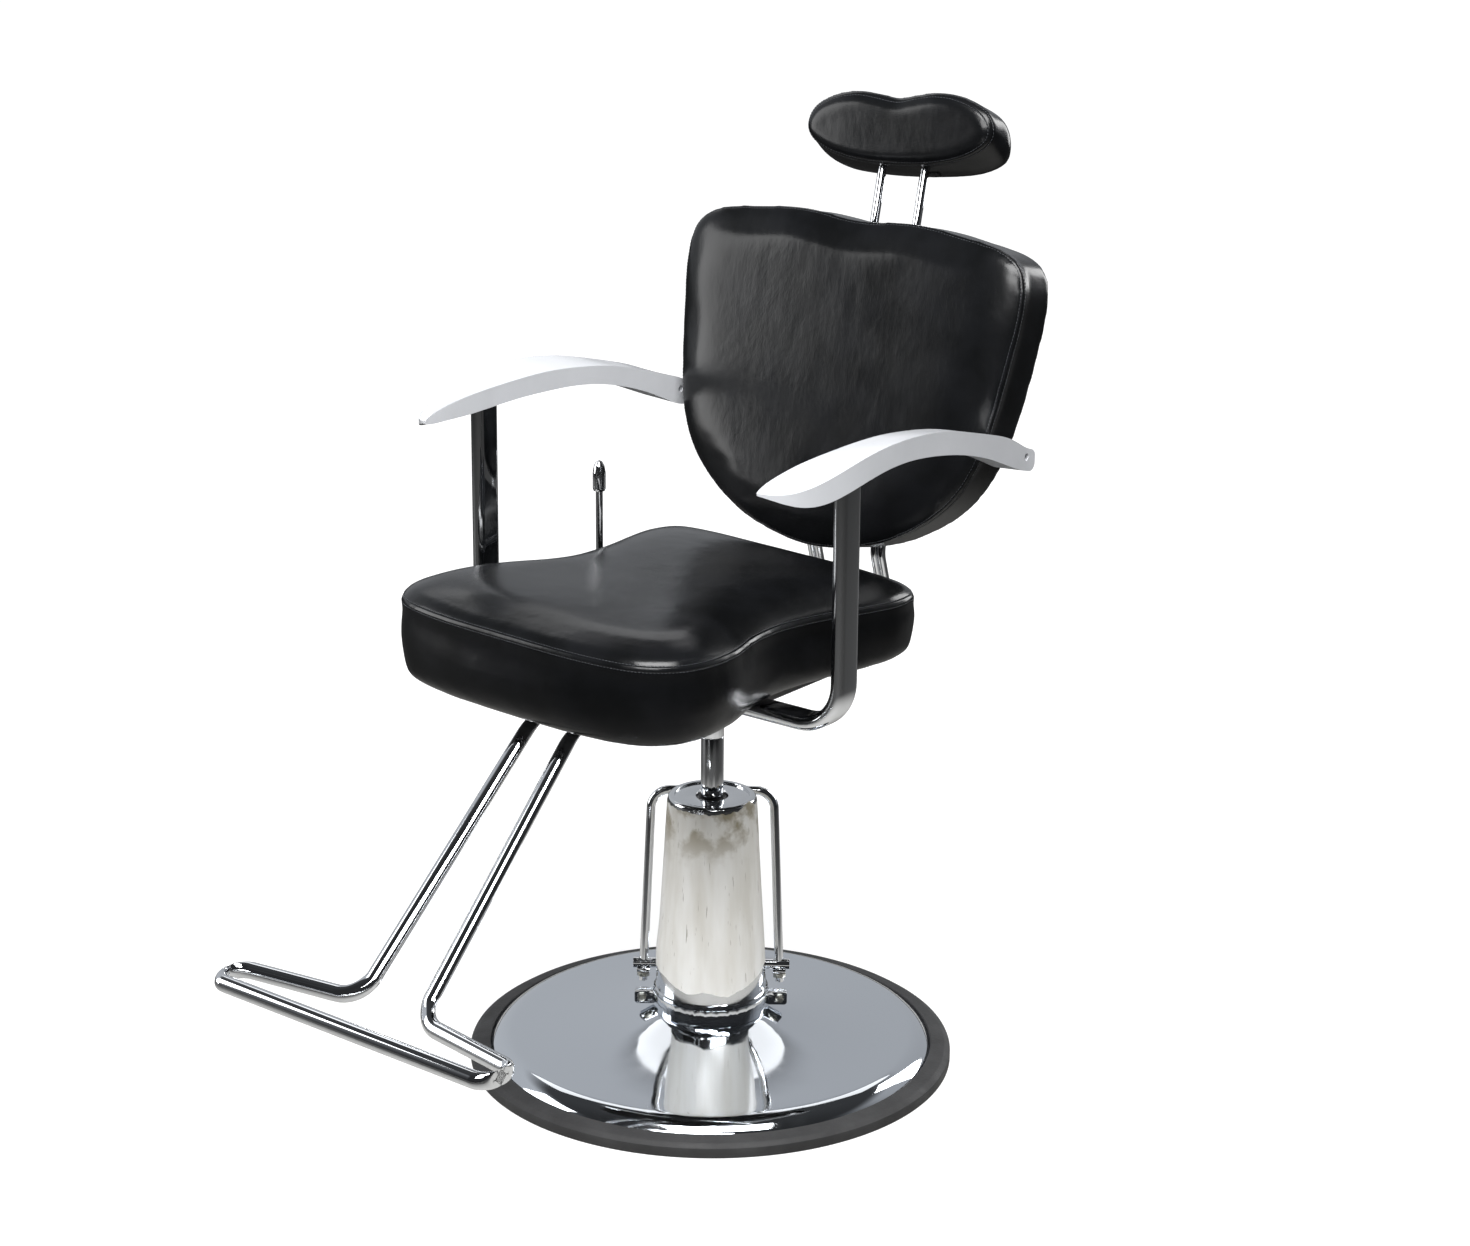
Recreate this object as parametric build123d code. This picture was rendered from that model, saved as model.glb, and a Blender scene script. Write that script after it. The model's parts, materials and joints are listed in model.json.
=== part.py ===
from build123d import *
import os
from math import atan2, cos, degrees, hypot, radians, sin, tan

# Hydraulic barber chair. Millimetres, +Z up, the sitter faces -Y.
# The origin is the centre of the round base on the floor, so +Z is the swivel axis.

# ---------------------------------------------------------------- clearances
RUN_FIT = 0.05        # radial clearance of a shaft that turns or slides in a bore
SHIM = 0.1            # gap between flat faces that turn on each other
SOFT_GAP = 0.6        # gap left round a piece that passes into foam

# ---------------------------------------------------------------- round base
BASE_R = 300.0        # outer radius of the rubber ring
RING_H = 12.0         # height of the ring's outer wall
RING_LIP = 42.0       # radial width of the ring under the dome's rim
LEDGE_Z = 8.0         # the ledge that the dome's rim and the spider stand on
DOME_R = 275.0
DOME_RIM_Z = 20.0
SHOULDER_R = 252.0
SHOULDER_Z = 31.0
DOME_WALL = 1.6
NECK_R = 71.0         # where the trumpet of the dome meets the clamp ring
NECK_Z = 62.0
SPIDER_T = 6.0
SPIDER_HUB_R = 92.0
SPIDER_FOOT_R = 40.0  # boss under the hub that rests on the floor
SPIDER_ARM_W = 34.0
SPIDER_ARMS = 6
RIB_H = 12.0
RIB_T = 5.0

# ---------------------------------------------------------------- pump
PUMP_TURN = 37.5      # the pump is bolted down turned by this angle from the seat
FLANGE_R = 68.0
FLANGE_H = 12.0
PUMP_R = 50.0
PUMP_TOP = 140.0      # top of the cast block, where the oil jacket begins
JACKET_WALL = 3.0
GLAND_Z = 310.0       # underside of the gland
BARREL_R = 22.0
BARREL_BORE_R = 18.0
BARREL_Z = 30.0
RAM_R = 14.0
RAM_GROOVE_Z = 418.0
RAM_TAPER_Z = 448.0
RAM_TAPER_R = 13.0
RAM_TOP = 505.0
SPIGOT_R = 8.0
SPIGOT_L = 14.0
PISTON_Z = 204.0      # underside of the piston as the chair stands
PISTON_H = 28.0
WASHER_T = 3.0
SEAL_H = 8.0
PUMP_BOLT_R = 4.0
PUMP_BOLT_CIRCLE = 59.0

# sleeve over the pump and the ring that clamps it
SLEEVE_R = 69.0
SLEEVE_BEAD_Z = 84.0
SLEEVE_BEAD_H = 6.0
SLEEVE_TOP_R = 54.3
SLEEVE_TOP = 342.0
SLEEVE_WALL = 1.5
SLEEVE_LIP = 8.0
CAP_T = 2.0
CAP_HOLE_R = 20.0
CLAMP_WALL = 3.0
CLAMP_GAP = 1.0
EAR_REACH = 95.0
EAR_T = 4.0
EAR_H = 18.0
EAR_BOLT_R = 3.0

# pedal
SHAFT_R = 7.0
SHAFT_HALF = 98.0
SHAFT_Y = 36.0        # the cross-shaft passes behind the barrel
SHAFT_Z = 102.0
LEG_R = 5.5
LEG_FOOT_X = 85.0
LEG_TOP_X = 76.0
BAR_Y = 68.0
BAR_Z = 322.0
BAR_BEND = 24.0
LEG_TAIL = 22.0
NUT_R = 8.0
NUT_H = 6.5
CAM_BASE_R = 9.5
CAM_LIFT = 8.0
CAM_W = 12.0
PEDAL_SWING = 95.0
PLUNGER_R = 5.0
PLUNGER_FOOT_Z = 44.0
PLUNGER_GAP = 0.4
COLLAR_R = 8.0
COLLAR_T = 3.0
SPRING_WIRE_R = 0.8
SPRING_TURNS = 4
SPRING_SEAT_Z = 62.0

# ---------------------------------------------------------------- seat frame
SEAT_Z = 531.0        # underside of the seat board and top of the steel plate
PLATE_T = 6.0
PLATE_X = 130.0
PLATE_FRONT = -146.0
PLATE_REAR = 126.0
FLANGE_DROP = 19.0
FLANGE_T = 4.0
FLANGE_FRONT = -60.0
SOCKET_R = 23.0
SOCKET_Z = 440.0
GUSSET_REACH = 64.0
GUSSET_T = 5.0
GUSSET_Z = 462.0
BOARD_T = 12.0
BOARD_INSET = 16.0
SEAT_BOLT_R = 4.0
SEAT_BOLT_X = 105.0
SEAT_BOLT_Y = 40.0

# seat cushion
SEAT_HALF_W = 226.0
SEAT_FRONT = -349.0
SEAT_REAR = 178.0
SEAT_SEAM_FRONT = 626.0
SEAT_SEAM_REAR = 601.0
SEAT_CROWN = 28.0     # rise of the top above its seam
SEAT_TUCK = 11.0      # how far the foot is drawn in under the sides
SEAT_BULGE = 2.5
SEAT_SKEW = -3.0      # the cushion's board is screwed on a few degrees askew
SEAT_SHIFT = -7.0     # and a few millimetres towards the sitter's right

# armrests
ARM_X = 271.8
ARM_Y = -105.0
ARM_DEPTH = 38.0
ARM_THICK = 18.0
ARM_WALL = 2.0
ARM_BEND = 55.0
ARM_INNER_X = 52.0
ARM_TOP = 820.0
ARM_BOLT_R = 4.0
PAD_INNER_X = 245.0
PAD_HOLE_R = 4.5
PAD_HOLE_Y = 240.0
PAD_HOLE_Z = 768.0
PAD_WALL = 4.0
PAD_SCREW_R = 2.5

# footrest
FOOT_TUBE_R = 10.0
FOOT_WALL = 1.6
FOOT_FRONT_Y = -632.0
FOOT_Z = 250.0
FOOT_END_X = 210.0
FOOT_END_DEPTH = 42.5
FOOT_END_BEND = 18.5
FOOT_CORNER_X = 45.5
FOOT_CORNER_Y = -564.0
FOOT_CORNER_BEND = 38.0
FOOT_TOP_X = 31.0
FOOT_TOP_Y = -286.0
FOOT_TOP_BEND = 60.0
FOOT_MOUNT_Y = -138.0
FOOT_SKEW = 1.0       # the footrest stands this many degrees askew in its clamp
CLAMP_PLATE_X = 58.0
CLAMP_PLATE_W = 22.0
CLAMP_PLATE_T = 4.0

# ---------------------------------------------------------------- backrest
HINGE_Y = 150.0
HINGE_Z = 505.0
RECLINE = 45.0        # degrees from upright to fully laid back
HINGE_SHAFT_R = 8.0
HINGE_SHAFT_HALF = 74.0
BARREL_OUT_R = 12.0
BOW_R = 5.0
BOW_X = 50.0          # centre of each pair of rods
BOW_PITCH = 11.0
BARREL_HALF_L = 12.0
LUG_T = 5.0
LUG_GAP = 1.0
LUG_R = 15.0
BOW_CORNER_Y = 296.0
BOW_CORNER_BEND = 32.0
BOW_KINK_S = -185.0
BOW_KINK_BEND = 40.0
BOW_TOP_S = -20.0
BOW_PLATE_T = 8.0
BOW_PLATE_X = 74.0
BOW_PLATE_S = (-128.0, -44.0)
BOW_PLATE_H = 26.0

BACK_Y = 220.6        # the front face passes through this point ...
BACK_Z = 800.0
BACK_TILT = 13.1      # ... and leans back by this many degrees
BACK_HALF_W = 255.0
BACK_UP = 226.0
BACK_DOWN = 187.0
BACK_T = 74.0
BACK_EDGE_R = 14.0
BACK_BOARD_T = 12.0
BACK_BOARD_INSET = 9.0
PANEL_T = 4.0
PANEL_INSET = 12.0
SCREW_R = 2.5

# recline lock
CRANK_R = 45.0
CRANK_PIN_R = 4.0
CRANK_T = 5.0
YOKE_T = 8.0
LOCK_ROD_R = 4.0
LOCK_ROD_L = 82.0
LOCK_BODY_R = 12.0
LOCK_BODY_Y = (50.0, 112.0)

# recline lever
LEVER_R = 4.5
LEVER_X = -230.0
LEVER_Y = 60.0
LEVER_Z = 514.0
LEVER_BEND = 22.0
LEVER_TOP = 680.0
LEVER_INNER_X = -18.0
KNOB_R = 8.2
KNOB_Z = 674.0
KNOB_TOP = 713.0
KNOB_FLUTES = 10

# headrest
HEAD_ROD_R = 5.5
HEAD_ROD_X = 31.7
HEAD_ROD_D = 92.0     # distance of the rods behind the backrest's front face
HEAD_ROD_S = (72.0, 330.0)
HEAD_BLOCKS_S = (150.0, 205.0)
HEAD_BLOCK_H = 18.0
HEAD_BLOCK_X = 46.0
HEAD_Y = 354.0
HEAD_Z = 1113.0
HEAD_TILT = 4.0
HEAD_ROLL = 4.5       # the cushion sits a few degrees askew on its rods
HEAD_HALF_W = 141.0
HEAD_UP = 47.0
HEAD_DOWN = 44.0
HEAD_T = 60.0
HEAD_SAG = 26.0       # how much lower the rear of the pad lies than its front
HEAD_BOARD_T = 8.0

# ---------------------------------------------------------------- frames
PUMP = Location((0, 0, 0), (0, 0, PUMP_TURN))
TILT = radians(BACK_TILT)
BACK = Plane(origin=(0, BACK_Y, BACK_Z), x_dir=(1, 0, 0), z_dir=(0, -cos(TILT), sin(TILT)))
HTILT = radians(HEAD_TILT)
HEAD = Plane(origin=(0, HEAD_Y, HEAD_Z), x_dir=(1, 0, 0), z_dir=(0, -cos(HTILT), sin(HTILT)))
ARM_Z = SEAT_Z - PLATE_T - ARM_THICK / 2
FOOT_TOP_Z = SEAT_Z - PLATE_T - FOOT_TUBE_R
SLEEVE_CAP_Z = SLEEVE_TOP - SLEEVE_WALL
PANEL_D = BACK_T + PANEL_T
BOW_D = PANEL_D + BOW_PLATE_T + BOW_R
BOARD_TOP = SEAT_Z + BOARD_T


def back_point(s, d):
    """Y and Z of a point s up the backrest's face and d behind it."""
    return BACK_Y + s * sin(TILT) + d * cos(TILT), BACK_Z + s * cos(TILT) - d * sin(TILT)


# ---------------------------------------------------------------- helpers
def disc(r, z0, z1, x=0.0, y=0.0):
    return Pos(x, y, (z0 + z1) / 2) * Cylinder(r, z1 - z0)


def ring(r_out, r_in, z0, z1):
    return disc(r_out, z0, z1) - disc(r_in, z0 - 1, z1 + 1)


def block(x0, x1, y0, y1, z0, z1):
    return Pos((x0 + x1) / 2, (y0 + y1) / 2, (z0 + z1) / 2) * Box(x1 - x0, y1 - y0, z1 - z0)


def rod_x(r, x0, x1, y, z):
    return Pos((x0 + x1) / 2, y, z) * Rot(0, 90, 0) * Cylinder(r, abs(x1 - x0))


def rod_y(r, y0, y1, x, z):
    return Pos(x, (y0 + y1) / 2, z) * Rot(90, 0, 0) * Cylinder(r, abs(y1 - y0))


def turned(*points):
    """A solid of revolution about Z from (radius, z) points."""
    return revolve(Plane.XZ * make_face(Polyline(*points, close=True)), Axis.Z)


def hexagon(r, z0, z1):
    return Pos(0, 0, z0) * extrude(RegularPolygon(r, 6), z1 - z0)


def bolt(r, z_head, z_tip, head_h):
    """A bolt on Z whose hexagon head lies beyond z_head, away from the tip."""
    way = 1 if z_head > z_tip else -1
    low, high = sorted((z_head, z_head + way * head_h))
    return disc(r, min(z_head, z_tip), max(z_head, z_tip)) + hexagon(1.8 * r, low, high)


def pipe(path, r, wall=0.0):
    """A round rod, or a tube where a wall is given, along a path."""
    section = Circle(r) if not wall else Circle(r) - Circle(r - wall)
    return sweep((path ^ 0) * section, path=path)


def mirrored(shape):
    return mirror(shape, Plane.YZ)


def outline(points, inset=0.0, count=40):
    """A closed face, the same on both sides of Y, from (x, y) points of its right half."""
    left = [(-x, y) for x, y in reversed(points[1:-1])]
    rim = Spline(*points, *left, periodic=True)
    if inset:
        moved = []
        for k in range(count):
            spot, along = rim @ (k / count), rim % (k / count)
            moved.append((spot.X - along.Y * inset, spot.Y + along.X * inset))
        rim = Spline(*moved, periodic=True)
    return make_face(rim)


def rounded(body, plane, r_front, r_rear):
    """Round the rims of the two faces that lie across a plane's normal."""
    along = Axis(plane.origin, plane.z_dir)
    body = fillet(body.faces().sort_by(along)[-1].edges(), r_front)
    return fillet(body.faces().sort_by(along)[0].edges(), r_rear)


# ---------------------------------------------------------------- round base
def base_rubber_ring():
    inner = BASE_R - RING_LIP
    lip = DOME_R + RUN_FIT
    return turned(
        (inner, 0), (BASE_R, 0), (BASE_R, RING_H), (BASE_R - 6, RING_H + 4.5),
        (lip, DOME_RIM_Z), (lip, LEDGE_Z), (inner, LEDGE_Z),
    )


def dome_line(shift):
    """The dome's outer line from rim to neck, moved inwards by a wall."""
    flare = Spline(
        (SHOULDER_R - shift, SHOULDER_Z - shift),
        (0.62 * SHOULDER_R, SHOULDER_Z - shift + 5.5),
        (0.42 * SHOULDER_R, SHOULDER_Z - shift + 13.5),
        (NECK_R - shift, NECK_Z - 1),
        tangents=((-1, 0.03), (-0.35, 1)),
    )
    edge = DOME_R - shift
    shoulder = Spline(
        (edge, DOME_RIM_Z - 2), (edge - 5, DOME_RIM_Z + 5 - shift / 2),
        (SHOULDER_R - shift, SHOULDER_Z - shift), tangents=((0, 1), (-1, 0.03)),
    )
    return shoulder + flare


def dome_face(shift, foot, inner):
    line = dome_line(shift)
    top = NECK_Z - 1
    rest = Polyline(
        (NECK_R - shift, top), (inner, top), (inner, foot), (DOME_R - shift, foot),
        (DOME_R - shift, DOME_RIM_Z - 2),
    )
    return Plane.XZ * make_face(line + rest)


def base_dome():
    inner = SLEEVE_R - 4
    outer = revolve(dome_face(0.0, LEDGE_Z, inner), Axis.Z)
    hollow = revolve(dome_face(DOME_WALL, LEDGE_Z - 1, inner - 9), Axis.Z)
    lip = ring(NECK_R, inner, NECK_Z - 2.5, NECK_Z)
    return outer - hollow + lip


def base_spider():
    """Pressed steel star under the dome: it ties the pump to the rim."""
    z0, z1 = LEDGE_Z, LEDGE_Z + SPIDER_T
    reach = DOME_R - DOME_WALL - 1
    star = disc(SPIDER_HUB_R, z0, z1)
    arm = block(0, reach, -SPIDER_ARM_W / 2, SPIDER_ARM_W / 2, z0, z1)
    arm &= disc(reach, z0, z1)
    rib_face = make_face(Polyline(
        (FLANGE_R + 6, z1), (reach - 16, z1), (SPIDER_HUB_R + 20, z1 + RIB_H),
        (FLANGE_R + 6, z1 + RIB_H), close=True,
    ))
    rib = Pos(0, RIB_T / 2, 0) * extrude(Plane.XZ * rib_face, RIB_T)
    slot = Pos((SPIDER_HUB_R + reach) / 2 + 18, 0, z0) * extrude(SlotOverall(70, 12), SPIDER_T)
    one = arm + rib
    for k in range(SPIDER_ARMS):
        star += Rot(0, 0, k * 360 / SPIDER_ARMS) * one
    for k in range(SPIDER_ARMS):
        side = Rot(0, 0, (k + 0.5) * 360 / SPIDER_ARMS)
        star -= side * disc(9, z0 - 1, z1 + 1, SPIDER_HUB_R - 16)
    for k in range(4):
        spot = Rot(0, 0, PUMP_TURN + 45 + 90 * k)
        star -= spot * disc(PUMP_BOLT_R + RUN_FIT, z0 - 1, z1 + 1, PUMP_BOLT_CIRCLE)
    return star + disc(SPIDER_FOOT_R, 0, z1)


# ---------------------------------------------------------------- pump, in its own turned frame
def follow_y():
    """The plunger stands off the shaft's axis by the cam's rise per radian."""
    return SHAFT_Y + CAM_LIFT / radians(PEDAL_SWING)


def cam_face():
    """Involute lobe: it lifts a flat plunger evenly over the pedal's swing."""
    rise = CAM_LIFT / radians(PEDAL_SWING)
    base = CAM_BASE_R
    points = []
    for k in range(9):
        turn = radians(k * (PEDAL_SWING + 8) / 8)
        high = base + rise * turn
        points.append((SHAFT_Y + high * sin(turn) + rise * cos(turn),
                       SHAFT_Z - high * cos(turn) + rise * sin(turn)))
    low = (SHAFT_Y, SHAFT_Z - base)
    top = (SHAFT_Y, SHAFT_Z + base)
    back = ThreePointArc(top, (SHAFT_Y - base, SHAFT_Z), low)
    rim = Spline(*points) + Line(points[-1], top) + back + Line(low, points[0])
    return Plane.YZ * make_face(rim)


def pump_body():
    z0 = LEDGE_Z + SPIDER_T
    body = disc(FLANGE_R, z0, z0 + FLANGE_H) + disc(PUMP_R, z0, PUMP_TOP)
    body -= disc(BARREL_R + RUN_FIT, BARREL_Z, PUMP_TOP + 1)
    body -= rod_x(SHAFT_R + RUN_FIT, -PUMP_R, PUMP_R, SHAFT_Y, SHAFT_Z)
    half = CAM_W / 2 + 3
    sweep_r = CAM_BASE_R + CAM_LIFT + 3
    pocket_y = SHAFT_Y - CAM_BASE_R - 1
    body -= block(-half, half, pocket_y, PUMP_R + 5, SPRING_SEAT_Z, SHAFT_Z + sweep_r)
    body -= disc(PLUNGER_R + RUN_FIT, PLUNGER_FOOT_Z - 14, SHAFT_Z, 0, follow_y())
    for k in range(4):
        spot = Rot(0, 0, 45 + 90 * k)
        body -= spot * disc(PUMP_BOLT_R + RUN_FIT, z0 - 1, z0 + FLANGE_H + 1, PUMP_BOLT_CIRCLE)
    return body


def pump_bolts():
    z0 = LEDGE_Z + SPIDER_T
    one = bolt(PUMP_BOLT_R, z0 + FLANGE_H, z0 - SPIDER_T, 5)
    return [Rot(0, 0, 45 + 90 * k) * Pos(PUMP_BOLT_CIRCLE, 0, 0) * one for k in range(4)]


def pump_jacket():
    return ring(PUMP_R, PUMP_R - JACKET_WALL, PUMP_TOP, GLAND_Z)


def pump_barrel():
    return ring(BARREL_R, BARREL_BORE_R, BARREL_Z, GLAND_Z)


def pump_head():
    """The gland that guides the ram, with a pocket for its seal."""
    head = disc(PUMP_R, GLAND_Z, SLEEVE_CAP_Z - CAP_T)
    head -= disc(RAM_R + RUN_FIT, GLAND_Z - 1, SLEEVE_TOP)
    head -= disc(CAP_HOLE_R, SLEEVE_CAP_Z - CAP_T - SEAL_H, SLEEVE_TOP)
    return head


def rod_seal():
    top = SLEEVE_CAP_Z - CAP_T
    return turned(
        (RAM_R + RUN_FIT, top - SEAL_H), (CAP_HOLE_R, top - SEAL_H), (CAP_HOLE_R, top - 1.5),
        (RAM_R + 2.5, top + 1.2), (RAM_R + RUN_FIT, top - 0.5),
    )


def pump_sleeve():
    """Chromed steel cover: a skirt, a bead, a long cone and a rolled top."""
    top, wall = SLEEVE_TOP, SLEEVE_WALL
    bead = SLEEVE_BEAD_Z
    cone = SLEEVE_BEAD_Z + SLEEVE_BEAD_H
    skin = turned(
        (SLEEVE_R, NECK_Z), (SLEEVE_R, bead), (SLEEVE_R + 2, bead + 1),
        (SLEEVE_R + 2, cone - 1), (SLEEVE_R, cone), (SLEEVE_TOP_R, top - 3),
        (SLEEVE_TOP_R - 3, top), (SLEEVE_TOP_R - SLEEVE_LIP, top),
        (SLEEVE_TOP_R - SLEEVE_LIP, top - wall), (SLEEVE_TOP_R - 3.6, top - wall),
        (SLEEVE_TOP_R - wall, top - 3.6), (SLEEVE_R - wall, cone), (SLEEVE_R - wall, NECK_Z),
    )
    mouth = SHAFT_R + 2.5
    for side in (-1, 1):
        port = rod_x(mouth, side * 40, side * 80, SHAFT_Y, SHAFT_Z)
        port += block(min(side * 40, side * 80), max(side * 40, side * 80), SHAFT_Y - mouth,
                      SHAFT_Y + mouth, SHAFT_Z - mouth, SHAFT_Z)
        skin -= port
    return skin


def sleeve_cap():
    return ring(SLEEVE_TOP_R - 4.2, CAP_HOLE_R, SLEEVE_CAP_Z - CAP_T, SLEEVE_CAP_Z)


def clamp_half(side):
    """Half of the ring that ties the sleeve to the dome's neck; side -1 is the front half."""
    z0, z1 = NECK_Z + 0.2, SLEEVE_BEAD_Z - 0.2
    half = ring(SLEEVE_R + RUN_FIT + CLAMP_WALL, SLEEVE_R + RUN_FIT, z0, z1)
    big = 2 * SLEEVE_R
    near, far = sorted((side * CLAMP_GAP / 2, side * big))
    half &= block(-big, big, near, far, z0 - 1, z1 + 1)
    ear_z = (z0 + z1) / 2
    face0, face1 = sorted((side * CLAMP_GAP / 2, side * (CLAMP_GAP / 2 + EAR_T)))
    for end in (-1, 1):
        plate = Pos((SLEEVE_R + EAR_REACH) / 2, 0, 0) * RectangleRounded(
            EAR_REACH - SLEEVE_R, EAR_H, 4)
        ear = Pos(0, face1, ear_z) * extrude(Plane.XZ * plate, face1 - face0)
        ear -= disc(SLEEVE_R + RUN_FIT, z0 - 9, z1 + 9)
        ear -= rod_y(EAR_BOLT_R + RUN_FIT, face0 - 1, face1 + 1, ear_x(), ear_z)
        half += ear if end > 0 else mirrored(ear)
    return half


def ear_x():
    return EAR_REACH - 9


def clamp_bolts():
    ear_z = (NECK_Z + SLEEVE_BEAD_Z) / 2
    face = CLAMP_GAP / 2 + EAR_T
    screw = bolt(EAR_BOLT_R, face, -face - 7, 4)
    nut = hexagon(1.8 * EAR_BOLT_R, -face - 5, -face) - disc(EAR_BOLT_R, -face - 6, -face + 1)
    pair = [screw, nut]
    return [Pos(end * ear_x(), 0, ear_z) * Rot(90, 0, 0) * solid
            for end in (-1, 1) for solid in pair]


# ---------------------------------------------------------------- piston and ram
def piston():
    body = disc(BARREL_BORE_R - RUN_FIT, PISTON_Z, PISTON_Z + PISTON_H)
    body -= disc(SPIGOT_R + RUN_FIT, PISTON_Z + PISTON_H - SPIGOT_L, PISTON_Z + PISTON_H + 1)
    for k in range(2):
        z = PISTON_Z + 6 + 11 * k
        body -= ring(BARREL_BORE_R + 1, BARREL_BORE_R - 3, z, z + 4)
    return body


def piston_seals():
    rings = []
    for k in range(2):
        z = PISTON_Z + 6 + 11 * k
        rings.append(ring(BARREL_BORE_R - RUN_FIT, BARREL_BORE_R - 3, z, z + 4))
    return rings


def thrust_washer():
    z = PISTON_Z + PISTON_H
    return ring(RAM_R - 1, SPIGOT_R + RUN_FIT, z, z + WASHER_T)


def ram():
    foot = PISTON_Z + PISTON_H + WASHER_T + SHIM
    spigot = PISTON_Z + PISTON_H - SPIGOT_L + 1
    return turned(
        (0, spigot), (SPIGOT_R, spigot), (SPIGOT_R, foot), (RAM_R, foot),
        (RAM_R, RAM_GROOVE_Z - 0.6), (RAM_R - 0.6, RAM_GROOVE_Z), (RAM_R, RAM_GROOVE_Z + 0.6),
        (RAM_R, RAM_TAPER_Z), (RAM_TAPER_R, RAM_TOP), (0, RAM_TOP),
    )


# ---------------------------------------------------------------- pedal
def pedal_path():
    run = hypot(LEG_FOOT_X - LEG_TOP_X, BAR_Y - SHAFT_Y, BAR_Z - SHAFT_Z)
    k = LEG_TAIL / run
    foot = (LEG_FOOT_X + k * (LEG_FOOT_X - LEG_TOP_X), SHAFT_Y - k * (BAR_Y - SHAFT_Y),
            SHAFT_Z - k * (BAR_Z - SHAFT_Z))
    top = (LEG_TOP_X, BAR_Y, BAR_Z)
    return FilletPolyline(
        (-foot[0], foot[1], foot[2]), (-top[0], top[1], top[2]), top, foot, radius=BAR_BEND)


def pedal_bar():
    return pipe(pedal_path(), LEG_R)


def leg_frame():
    """A frame on the leg's line where it crosses the shaft, +Z up the leg."""
    return Plane(origin=(LEG_FOOT_X, SHAFT_Y, SHAFT_Z), x_dir=(1, 0, 0),
                 z_dir=(LEG_TOP_X - LEG_FOOT_X, BAR_Y - SHAFT_Y, BAR_Z - SHAFT_Z))


def pedal_shaft():
    shaft = rod_x(SHAFT_R, -SHAFT_HALF, SHAFT_HALF, SHAFT_Y, SHAFT_Z)
    hole = leg_frame() * Cylinder(LEG_R + RUN_FIT, 60)
    return shaft - hole - mirrored(hole)


def pedal_saddles():
    """Shaped washers that sit under the round shaft, one at each leg."""
    seat = leg_frame() * (Pos(0, 0, -SHAFT_R - 1.5) * Box(16, 16, 5))
    hole = leg_frame() * Cylinder(LEG_R + RUN_FIT, 60)
    one = seat - hole - rod_x(SHAFT_R + RUN_FIT, 0, SHAFT_HALF + 9, SHAFT_Y, SHAFT_Z)
    return [one, mirrored(one)]


def pedal_nuts():
    z = -SHAFT_R - 4 - RUN_FIT
    nut = hexagon(NUT_R, z - NUT_H, z) - disc(LEG_R + RUN_FIT, z - NUT_H - 1, z + 1)
    one = leg_frame() * nut
    return [one, mirrored(one)]


def pedal_cam():
    cam = Pos(-CAM_W / 2, 0, 0) * extrude(cam_face(), CAM_W)
    return cam - rod_x(SHAFT_R + RUN_FIT, -CAM_W, CAM_W, SHAFT_Y, SHAFT_Z)


def plunger_top():
    return SHAFT_Z - CAM_BASE_R - PLUNGER_GAP


def pump_plunger():
    top = plunger_top()
    rod = disc(PLUNGER_R, PLUNGER_FOOT_Z, top, 0, follow_y())
    rod = fillet(rod.edges().sort_by(Axis.Z)[-1], 1)
    return rod + disc(COLLAR_R, top - 5 - COLLAR_T, top - 5, 0, follow_y())


def plunger_spring():
    top = plunger_top() - 5 - COLLAR_T
    height = top - SPRING_SEAT_Z - 2 * SPRING_WIRE_R
    mean = PLUNGER_R + 1.0 + SPRING_WIRE_R
    coil = Helix(height / SPRING_TURNS, height, mean)
    wire = sweep((coil ^ 0) * RegularPolygon(SPRING_WIRE_R, 8), path=coil, is_frenet=True)
    return Pos(0, follow_y(), SPRING_SEAT_Z + SPRING_WIRE_R) * wire


# ---------------------------------------------------------------- seat frame
def seat_plate():
    """Steel top plate with folded sides, a tapered socket for the ram and four gussets."""
    z1 = SEAT_Z
    z0 = z1 - PLATE_T
    mid = (PLATE_FRONT + PLATE_REAR) / 2
    face = Pos(0, mid, z0) * RectangleRounded(2 * PLATE_X, PLATE_REAR - PLATE_FRONT, 14)
    plate = extrude(face, PLATE_T)
    for side in (-1, 1):
        x0, x1 = sorted((side * PLATE_X, side * (PLATE_X - FLANGE_T)))
        plate += block(x0, x1, FLANGE_FRONT, PLATE_REAR - 16, z0 - FLANGE_DROP, z0)
        slot = Pos(side * 70, 0, z0) * extrude(SlotOverall(90, 26, rotation=90), PLATE_T)
        plate -= slot
    plate += disc(SOCKET_R, SOCKET_Z, z0)
    gusset = make_face(Polyline(
        (SOCKET_R - 2, z0), (GUSSET_REACH, z0), (GUSSET_REACH, z0 - 8),
        (SOCKET_R, GUSSET_Z), (SOCKET_R - 2, GUSSET_Z), close=True,
    ))
    fin = Pos(0, GUSSET_T / 2, 0) * extrude(Plane.XZ * gusset, GUSSET_T)
    for k in range(4):
        plate += Rot(0, 0, 45 + 90 * k) * fin
    plate -= socket_bore()
    plate -= rod_x(LEVER_R + RUN_FIT, -PLATE_X - 1, -PLATE_X + FLANGE_T + 1, LEVER_Y, LEVER_Z)
    for x, y in seat_bolt_spots():
        plate -= disc(SEAT_BOLT_R + RUN_FIT, z0 - 1, z1 + 1, x, y)
    return plate


def socket_bore():
    fit = RUN_FIT
    return turned(
        (0, SOCKET_Z - 1), (RAM_R + fit, SOCKET_Z - 1), (RAM_R + fit, RAM_TAPER_Z),
        (RAM_TAPER_R + fit, RAM_TOP), (RAM_TAPER_R + fit, RAM_TOP + fit), (0, RAM_TOP + fit),
    )


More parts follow.
